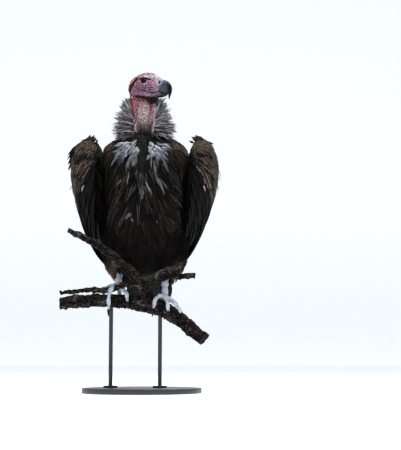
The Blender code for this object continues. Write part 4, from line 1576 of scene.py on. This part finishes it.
def white_down(source, tree):
    """Plumes and locks of white down on both sides of the crop, and wisps below it."""
    coat = Coat(source)
    plumes = shapes_of(pointed, 9, 0.35, source, 8, camber=0.30, curve=2.6)
    soft = locks_of(16, 4, 0.17, 0.06, source, width=0.0085)
    thin = locks_of(6, 5, 0.050, 0.04, source, width=0.0070)

    def lay(points, flow, length, lift, shapes, tone, width=None):
        number = len(points)
        colour = varied(source, tone, 0.35, number)
        twist = source.normal(0, 0.25, number)
        # The rims and ends are painted grey: painted shade between the strands of down
        coat.lay(shapes, tree, points, flow, length, 0.003, lift, width or length * 2,
                 colour, colour * 0.28, twist, arch=0.002)

    for side in (-1, 1):
        centre = np.array((NECK_X + side * 0.024, 0.998))

        def spread(p):
            """How far each place is from the middle of the white patch, as x and z and in all."""
            away = (np.stack([p[:, 0], p[:, 2]], 1) - centre) * (1.15, 1.0)
            return away, np.hypot(away[:, 0], away[:, 1])

        def beside(p, n):
            away, reach = spread(p)
            share = fall_off(0.050, 0.098, reach) * smooth_step(-0.006, 0.008, away[:, 0] * side)
            share *= fall_off(0.980, 1.000, p[:, 2] + 0.30 * np.abs(p[:, 0]))
            share *= fall_off(0.070, 0.095, np.abs(p[:, 0] - NECK_X))
            chosen = source.random(len(p)) < share
            return chosen & (p[:, 1] < -0.02) & (n[:, 1] < 0.2) & (p[:, 2] < COAT_TOP)

        points = scattered(["trunk", "crop"], 0.0066, source, beside)
        count = len(points)
        away, reach = spread(points)
        flow = unit(rows(away[:, 0] * 1.3, -0.004, away[:, 1] - 0.010))
        flow = flow + source.normal(0, 0.15, (count, 3))
        length = sizes().down_length * source.uniform(0.50, 1.05, count) * (0.45 + 4.6 * reach)
        shade = 1.25 - 0.85 * smooth_step(0.030, 0.092, reach) * source.uniform(0.5, 1.2, count)
        tone = colours("down") * shade[:, None]
        wide = source.random(count) < 0.55
        lay(points[wide], flow[wide], length[wide] * 1.05, 0.004, plumes, tone[wide] * 0.9, 0.014)
        lay(points, flow, length * 0.9, source.uniform(0.002, 0.008, count), soft, tone)

        def outside(p, n):
            away, reach = spread(p)
            ring = (reach > 0.055) & (reach < 0.100) & (away[:, 0] * side > -0.01)
            low = (p[:, 1] < -0.02) & (p[:, 2] + 0.5 * np.abs(p[:, 0]) < 0.980)
            return ring & low & (source.random(len(p)) < 0.75)

        points = scattered(["trunk"], 0.0165, source, outside)
        count = len(points)
        away, _ = spread(points)
        flow = unit(rows(away[:, 0], -0.002, away[:, 1] - 0.02)) + source.normal(0, 0.12, (count, 3))
        length, lift = source.uniform(0.06, 0.10, count), source.uniform(0.001, 0.005, count)
        lay(points, flow, length, lift, thin, colours("down") * 0.45)

    for x, z, number, lean, length, tone in WISPS:
        flat = rows(x + source.normal(0, 0.007, number), -0.20, z + source.normal(0, 0.009, number))
        points, _ = nearest(tree, flat)
        flow = rows(lean + source.normal(0, 0.22, number), 0.0, -1.0)
        lay(points, flow, length * source.uniform(0.7, 1.2, number), source.uniform(0.002, 0.006, number),
            thin if length > LONG_WISP else soft, colours("down") * tone)
    material = feather_finish("White down", roughness=0.8, rim_from=0.35, barbs=200.0, sheen=0.1,
                              tip_from=0.35)
    finish(coat.make("white_down", material), "ruff_grey")


class VULTURE_OT_crop(Operator):
    """Covers the crop with short dark feathers, and lays the white down beside and below it"""

    bl_idname = "vulture.crop"
    bl_label = "Crop and white down"

    def execute(self, context):
        source = random_source(4)
        tree = tree_of("trunk", "crop")
        crop_feathers(source, tree)
        white_down(source, tree)
        return {"FINISHED"}


def wing_feathers(coat, shapes, side, u, t, run_u, run_t, width, rise, base, rim, out, sink, twist):
    """Feathers on a wing's face, from (u, t) on by (run_u, run_t), rooted under it by sink. out is the
    height of the tips as in wing_at, negative on the inner face, and rise lifts them further."""
    root, normal = wing_at(side, u, t, out * (1 - sink))
    tip, tip_normal = wing_at(side, np.clip(u + run_u, 0, 1), np.clip(t + run_t, 0, 1), out)
    half, half_normal = wing_at(side, np.clip(u + run_u / 2, 0, 1), np.clip(t + run_t / 2, 0, 1), out)
    facing, rise = np.sign(out), np.reshape(rise, (-1, 1))
    top = unit(normal + tip_normal) * facing
    tip = tip + tip_normal * facing * rise
    want = half + half_normal * facing * rise * 0.5
    bow = np.sum((want - (root + tip) / 2) * top, axis=1)
    coat.add(shapes, root, tip, top, bow, width, base, rim, coat.source.normal(0, twist, len(root)))


WING_LENGTH = 0.66                     # from wrist to tips, to turn a covert's length into a run of t


def covert_rows(source, first, last, step, gap):
    """Staggered rows of places on a wing's outer face, as two arrays of u and t."""
    us, ts = [], []
    for k, t in enumerate(np.arange(first, last, step)):
        across = np.arange(0.0, 0.98, gap + 0.02 * abs(t - 0.3)) + gap / 2 * (k % 2)
        us.append(across + source.normal(0, 0.006, len(across)))
        ts.append(np.full(len(across), t) + source.normal(0, 0.004, len(across)))
    return np.clip(np.concatenate(us), 0, 0.99), np.clip(np.concatenate(ts), 0, last)


# Places u, t of pale spots where two coverts part, and lengths, as shares of the longest, of the feathers
# that hang loose off the right wrist
PARTINGS = ((0.11, 0.385), (0.40, 0.370))
LOOSE = (1.0, 0.7, 0.9, 0.55, 0.85, 0.6, 0.75, 0.5, 0.65, 0.45)

# Rows of flight feathers, as starts and growths along the row: u, t, run of u, run of t, share of the
# usual width, rise of the tips
OUTER_QUILLS = ((0.16, 0.68), (0.30, 0.06), (0.24, -0.12), (0.48, -0.22), (0.95, 0.0), (0.0042, -0.0032))
FRONT_QUILLS = ((0.04, 0.26), (0.27, 0.03), (0.30, 0.04), (0.72, -0.24), (0.62, 0.25), (-0.001, 0.002))
INNER_QUILLS = ((0.08, 0.74), (0.34, 0.03), (0.20, -0.06), (0.60, -0.34), (1.0, 0.0), (0.001, 0.002))


def quill_row(coat, shapes, side, number, places, spread, rim, out, twist):
    """A row of flight feathers from the front rim of a wing backwards."""
    k = np.arange(number) / (number - 1)
    u, t, run_u, run_t, width, rise = (start + growth * k for start, growth in places)
    base = varied(coat.source, colours("quill"), spread, number)
    wing_feathers(coat, shapes, side, u, t, run_u, run_t, sizes().quill_width * width, rise,
                  base, base * rim, out, sink=0.5, twist=twist)


def lay_coverts(coat, side):
    """Brown coverts over darker, longer feathers on a wing's outer face, with its ragged edges."""
    source = coat.source
    quill, covert, covert_rim = colours("quill"), colours("covert"), colours("covert_rim")
    rounds = shapes_of(rounded, 8, 0.16, source, 6, curve=0.5)
    narrow = shapes_of(rounded, 8, 0.16, source, 4, curve=0.4)
    narrow += shapes_of(pointed, 8, 0.16, source, 4, curve=0.8)
    lances = shapes_of(pointed, 8, 0.20, source, 6, curve=1.2)
    u, t = covert_rows(source, 0.0, 0.50, 0.0190, 0.046)
    kept = t < 0.25 + 0.25 * np.clip(u / 0.42, 0, 1) + source.normal(0, 0.015, len(t))
    u, t = u[kept], t[kept]
    count = len(u)
    size = (0.50 + 0.75 * smooth_step(0.05, 0.45, t)) * source.uniform(0.8, 1.2, count)
    length, width = sizes().covert_length * size, sizes().covert_width * size * 0.78
    darker = 1 - 0.40 * smooth_step(0.28, 0.46, t)
    base = varied(source, covert, 0.45, count) * darker[:, None]
    rim = covert_rim * (source.uniform(0.25, 1.10, count) * darker)[:, None]
    wing_feathers(coat, narrow, side, u, t, 0.085 * size, length / WING_LENGTH, width,
                  source.uniform(0.001, 0.006, count), base, rim, out=1.0, sink=0.35, twist=0.08)
    # Along the front rim, nearly black: painted shade where the wing faces the body
    number = 120
    u = 0.02 + 0.05 * source.uniform(0, 1, number)
    base = varied(source, quill * 1.2, 0.4, number)
    wing_feathers(coat, lances, side, u, np.linspace(0.0, 0.40, number), 0.05, 0.055, 0.014,
                  source.uniform(0.0, 0.005, number), base, covert_rim * 0.08, out=0.6, sink=0.35, twist=0.3)
    # Below the brown ones
    u, t = covert_rows(source, 0.14, 0.56, 0.034, 0.070)
    base = varied(source, quill * 1.2, 0.35, len(u))
    wing_feathers(coat, rounds, side, u, t, 0.07, 0.125, 0.034,
                  source.uniform(-0.002, 0.001, len(u)), base, base * 2.6, out=1.0, sink=0.5, twist=0.1)
    for at_u, at_t in PARTINGS:
        spot, facing = wing_at(side, np.full(3, at_u), at_t + np.array((0, 0.004, 0.008)), 1.0)
        tip = spot + (side * 0.004, 0, -0.026) + facing * 0.010
        coat.add(locks_of(4, 4, 0.12, 0.04, source, width=0.05), spot, tip, facing,
                 0.003, 0.044, colours("down") * 0.9, colours("down") * 0.4)
    # Ragged tips over the outer edge
    number = 16
    t = source.uniform(0.03, 0.36, number)
    u = source.uniform(0.40, 0.62, number)
    base = varied(source, quill * 1.5, 0.4, number)
    wing_feathers(coat, lances, side, u, t, 0.02, 0.075, 0.017,
                  source.uniform(0.006, 0.013, number), base, base * 2.0, out=1.0, sink=0.6, twist=0.4)
    if side == SIDES["right"]:
        number = len(LOOSE)
        start, facing = wing_at(side, np.linspace(0.42, 0.58, number), np.linspace(0.06, 0.26, number), 0.9)
        end = start + np.array((-0.050, 0, -0.060)) * np.reshape(LOOSE, (-1, 1))
        coat.add(lances, start, end, facing + (0, -1, 0), 0.004, 0.022, quill * 1.4, quill * 2.5,
                 source.normal(0, 0.2, number))
    # Tufts on top of the wrist
    number = 20
    u, t = source.uniform(0.0, 0.55, number), source.uniform(0.0, 0.085, number)
    start, facing = wing_at(side, u, t, 0.3)
    lean = rows(-side * source.uniform(0.5, 1.6, number), source.uniform(-0.8, 0.2, number),
                source.uniform(-0.1, 1.0, number))
    base = varied(source, covert, 0.5, number)
    end = start + unit(lean) * source.uniform(0.016, 0.030, (number, 1))
    coat.add(lances, start, end, facing + (0, -1, 0), 0.002, 0.012,
             base, base * 2 + covert_rim * 0.25, source.normal(0, 0.5, number))


def lay_quills(coat, side):
    """Flight feathers outside and inside a wing, with dark feathers on its inner face."""
    source = coat.source
    longs = shapes_of(straight, 22, 0.05, source, camber=0.10, thickness=0.03)
    quill_row(coat, longs, side, 17, OUTER_QUILLS, spread=0.25, rim=4.5, out=1.0, twist=0.06)
    quill_row(coat, longs, side, 12, FRONT_QUILLS, spread=0.25, rim=3.5, out=0.9, twist=0.06)
    count = 190
    u = source.uniform(0.0, 0.92, count)
    t = source.uniform(0.02, 0.62, count)
    base = varied(source, colours("quill") * 0.9, 0.3, count)
    wing_feathers(coat, shapes_of(rounded, 7, 0.15, source), side, u, t, 0.05, 0.13, 0.036,
                  source.uniform(0.0, 0.003, count), base, base * 1.6, out=-1.0, sink=0.35, twist=0.1)
    quill_row(coat, longs, side, 14, INNER_QUILLS, spread=0.2, rim=1.5, out=-1.0, twist=0.03)


class VULTURE_OT_wings(Operator):
    """Lays coverts and flight feathers on both folded wings"""

    bl_idname = "vulture.wings"
    bl_label = "Wings"

    def execute(self, context):
        source = random_source(5)
        brown = feather_finish("Wing coverts", roughness=0.55, shaft=0.30, rim_from=0.62, barbs=230.0)
        dark = feather_finish("Flight feathers", roughness=0.60, shaft=0.35, rim_from=0.86, barbs=420.0)
        for word, side in SIDES.items():
            coverts, quills = Coat(source), Coat(source)
            lay_coverts(coverts, side)
            finish(coverts.make(f"wing_{word}_coat", brown), "feather_brown", f"wing_{word}_coverts")
            lay_quills(quills, side)
            finish(quills.make(f"wing_{word}_flight", dark), "feather_dark", f"wing_{word}_quills")
        return {"FINISHED"}


class VULTURE_OT_tail(Operator):
    """Lays the wedge of tail feathers"""

    bl_idname = "vulture.tail"
    bl_label = "Tail"

    def execute(self, context):
        source = random_source(6)
        coat = Coat(source)
        longs = shapes_of(straight, 18, 0.10, source, camber=0.08, thickness=0.03)
        number = 12
        k = np.linspace(-1, 1, number)
        quill = colours("quill")
        for layer, height in enumerate((0.003, -0.005)):
            root = rows(BODY_X + k * 0.030, 0.215, 0.512 + height + 0.004 * (1 - np.abs(k)))
            tip_y = 0.440 - 0.045 * np.abs(k) ** 2 - 0.006 * layer
            tip = rows(BODY_X + k * 0.088, tip_y, 0.384 + height + 0.018 * k**2)
            base = varied(source, quill, 0.25, number)
            lift = 0.010 * (1 - np.abs(k)) + 0.004
            coat.add(longs, root, tip, rows(k * 0.25, 0.5, 0.86), lift, 0.040, base, base * 5.0,
                     0.16 * np.sign(k) * (1 - 2 * layer))
        points = scattered(["tail"], 0.016, source, lambda p, n: p[:, 1] < 0.31)
        count = len(points)
        flow = rows((points[:, 0] - BODY_X) * 1.5, 0.8, -0.55) + source.normal(0, 0.08, (count, 3))
        length, lift = source.uniform(0.06, 0.09, count), source.uniform(-0.001, 0.002, count)
        base = varied(source, quill * 1.2, 0.3, count)
        shorts = shapes_of(rounded, 8, 0.14, source)
        coat.lay(shorts, tree_of("tail"), points, flow, length, 0.004, lift, 0.028, base, base * 4.0)
        material = feather_finish("Tail feathers", roughness=0.80, shaft=0.30, rim_from=0.82, barbs=380.0)
        finish(coat.make("tail_feathers", material), "feather_dark", "tail")
        return {"FINISHED"}


RUFF_ROWS = [  # height of the roots, of the tips, reach of the tips, half the front gap in degrees
    (1.104, 1.176, 0.060, 80),
    (1.096, 1.170, 0.073, 72),
    (1.088, 1.158, 0.086, 64),
    (1.080, 1.142, 0.099, 57),
    (1.072, 1.122, 0.110, 51),
    (1.062, 1.100, 0.119, 47),
    (1.054, 1.080, 0.126, 44),
    (1.045, 1.060, 0.130, 42),
    (1.036, 1.041, 0.131, 42),
    (1.027, 1.023, 0.129, 43),
    (1.018, 1.006, 0.125, 45),
    (1.010, 0.991, 0.117, 47),
    (1.004, 0.981, 0.104, 50),
]


class VULTURE_OT_ruff(Operator):
    """Stands the lance-shaped feathers of the ruff round the back and the sides of the neck"""

    bl_idname = "vulture.ruff"
    bl_label = "Ruff"

    def execute(self, context):
        source = random_source(7)
        coat = Coat(source)
        lances = shapes_of(pointed, 10, 0.42, source, 10, camber=0.30, curve=1.8)
        centre = np.array((0.004, -0.062))
        for low, high, reach, opening in RUFF_ROWS:
            start, end = -pi / 2 + radians(opening), 3 * pi / 2 - radians(opening)
            number = int((end - start) * reach / 0.0078)
            a = np.linspace(start, end, number) + source.normal(0, 0.045, number)
            out = rows(np.cos(a), np.sin(a))
            squeeze = np.where(out[:, 1] > 0, 0.86, 0.72)
            far = reach * source.uniform(0.84, 1.05, number)
            root = rows(*(centre + out * 0.036).T, low + source.normal(0, 0.006, number))
            tip_x, tip_y = centre[0] + out[:, 0] * far, centre[1] + (out[:, 1] * far * squeeze + 0.014)
            tip = rows(tip_x, tip_y, high + source.normal(0, 0.009, number))
            top = rows(out[:, 0] * 0.30, out[:, 1] * 0.30 - 0.55, 0.62)
            base = varied(source, colours("ruff"), 0.55, number)
            pale = (source.random(number) < 0.25)[:, None]
            rim = np.where(pale, colours("ruff") * 1.3, colours("ruff_tip"))
            bow = source.uniform(0.002, 0.012, number)
            width = sizes().ruff_width * source.uniform(0.85, 1.75, number)
            coat.add(lances, root, tip, top, bow, width, base, rim, source.normal(0, 0.45, number))
        material = feather_finish("Ruff feathers", roughness=0.62, shaft=0.22, rim_from=0.42, barbs=230.0)
        finish(coat.make("ruff_feathers", material), "ruff_grey", "ruff")
        return {"FINISHED"}


class VULTURE_OT_scalp(Operator):
    """Sprinkles short pale down on top of the head and on the nape"""

    bl_idname = "vulture.scalp"
    bl_label = "Scalp down"

    def execute(self, context):
        source = random_source(8)
        forward = np.array(HEAD_PLACE.to_3x3() @ Vector((0, -1, 0)))

        def on_top(p, n):
            ahead, up, _ = in_head(p)
            bald = smooth_step(0.014, 0.030, up - 0.30 * ahead)
            clear = path_distance(ahead - 0.0055, up, EAR) > 0.0075
            return (source.random(len(p)) < bald) & (ahead < 0.046) & (head_share(p) > 0.5) & clear

        points = scattered(["head"], 0.0023, source, on_top)
        count = len(points)
        flow = -forward + (0, 0, -0.25) + source.normal(0, 0.35, (count, 3))
        length = sizes().scalp_length * source.uniform(0.6, 1.4, count)
        lift = source.uniform(0.0010, 0.0034, count)
        tone = varied(source, np.array((0.36, 0.27, 0.20)), 0.5, count)
        tufts = locks_of(3, 3, 0.40, 0.12, source, width=0.035)
        coat = Coat(source)
        coat.lay(tufts, SKIN["tree"], points, flow, length, 0.0004, lift, length * 2, tone, tone,
                 arch=0.0006)
        material = feather_finish("Scalp down", roughness=0.8, rim_from=0.9, barbs=40.0)
        finish(coat.make("scalp_down", material), "skin_pink")
        return {"FINISHED"}


# ---------------------------------------------------------------- stage and add-on


FLOOR_SIZE, BACKDROP_HEIGHT = 44, 14
LIGHTS = (  # name, place, width, power
    ("Top light", (0.5, -0.8, 4.0), 2.6, 150),
    ("Left light", (-3.2, -2.6, 2.6), 2.2, 26),
    ("Back light", (1.2, 2.4, 3.4), 2.5, 90),
)
LIT_PLACE = (0, 0, 0.9)
VIEW_MIDDLE = (0.23, 0, 0.664)
VIEW_DISTANCE, VIEW_DROP = 4.3, radians(-7)
HALF_VIEW = 0.9                        # half of what the view's longer side spans at its middle


def floor_and_backdrop():
    select_only(*bpy.context.view_layer.objects[:1])
    bpy.ops.mesh.primitive_plane_add(size=FLOOR_SIZE, location=(0, 0, -0.001))
    floor = settled("floor")
    edit_all(floor, bpy.ops.mesh.select_all, action="DESELECT")
    for edge in floor.data.edges:
        edge.select = all(floor.data.vertices[i].co.y > 1 for i in edge.vertices)
    bpy.ops.object.mode_set(mode="EDIT")
    bpy.ops.mesh.select_mode(type="EDGE")
    bpy.ops.mesh.extrude_region_move(TRANSFORM_OT_translate={"value": (0, 0, BACKDROP_HEIGHT)})
    bpy.ops.object.mode_set(mode="OBJECT")
    apply_modifier(floor, "BEVEL", width=4.0, segments=16, limit_method="ANGLE")
    floor.data.shade_smooth()
    paper = plain_finish("Pale paper", colours("floor"), roughness=0.9)
    shader = paper.node_tree.nodes["Principled BSDF"]
    shader.inputs["Emission Color"].default_value = (*colours("floor"), 1)
    shader.inputs["Emission Strength"].default_value = 0.66
    one_material(floor, paper)


def sky(scene):
    scene.world = bpy.data.worlds.new("Studio")
    scene.world.use_nodes = True
    background = scene.world.node_tree.nodes["Background"]
    background.inputs["Color"].default_value = (0.93, 0.97, 1.0, 1)
    background.inputs["Strength"].default_value = 0.27


class VULTURE_OT_stage(Operator):
    """Adds floor, backdrop, lights and the camera"""

    bl_idname = "vulture.stage"
    bl_label = "Stage"

    def execute(self, context):
        floor_and_backdrop()
        sky(context.scene)
        for name, place, width, power in LIGHTS:
            bpy.ops.object.light_add(type="AREA", location=place)
            light = context.object
            light.name = name
            light.data.energy, light.data.size = power, width
            light.rotation_euler = (Vector(LIT_PLACE) - Vector(place)).to_track_quat("-Z", "Y").to_euler()
        bpy.ops.object.camera_add()
        camera = context.object
        camera.name = "View"
        back = Vector((0, -cos(VIEW_DROP), sin(VIEW_DROP)))
        camera.location = Vector(VIEW_MIDDLE) + back * VIEW_DISTANCE
        camera.rotation_euler = (-back).to_track_quat("-Z", "Y").to_euler()
        camera.data.sensor_width = 36
        camera.data.lens = camera.data.sensor_width / 2 * VIEW_DISTANCE / HALF_VIEW
        context.scene.camera = camera
        context.scene.view_settings.view_transform = "Standard"
        return {"FINISHED"}


STEPS = (
    VULTURE_OT_skin, VULTURE_OT_eyes, VULTURE_OT_bill, VULTURE_OT_claws, VULTURE_OT_perch, VULTURE_OT_stand,
    VULTURE_OT_breast, VULTURE_OT_back, VULTURE_OT_belly, VULTURE_OT_crop, VULTURE_OT_wings, VULTURE_OT_tail,
    VULTURE_OT_ruff, VULTURE_OT_scalp, VULTURE_OT_stage,
)


class VULTURE_PT_panel(Panel):
    """Lists the steps that build the vulture"""

    bl_label = "Vulture"
    bl_idname = "VULTURE_PT_panel"
    bl_space_type = "VIEW_3D"
    bl_region_type = "UI"
    bl_category = "Vulture"

    def draw(self, context):
        for step in STEPS:
            self.layout.operator(step.bl_idname)
        for group in (context.scene.vulture_sizes, context.scene.vulture_colours):
            for name in group.bl_rna.properties.keys():
                if name not in ("rna_type", "name"):
                    self.layout.prop(group, name)


CLASSES = (VultureSizes, VultureColours, *STEPS, VULTURE_PT_panel)


def register():
    for cls in CLASSES:
        bpy.utils.register_class(cls)
    bpy.types.Scene.vulture_sizes = PointerProperty(type=VultureSizes)
    bpy.types.Scene.vulture_colours = PointerProperty(type=VultureColours)


def unregister():
    del bpy.types.Scene.vulture_colours
    del bpy.types.Scene.vulture_sizes
    for cls in reversed(CLASSES):
        bpy.utils.unregister_class(cls)


def main():
    register()
    for step in STEPS:
        group, name = step.bl_idname.split(".")
        getattr(getattr(bpy.ops, group), name)()


if __name__ == "__main__":
    main()
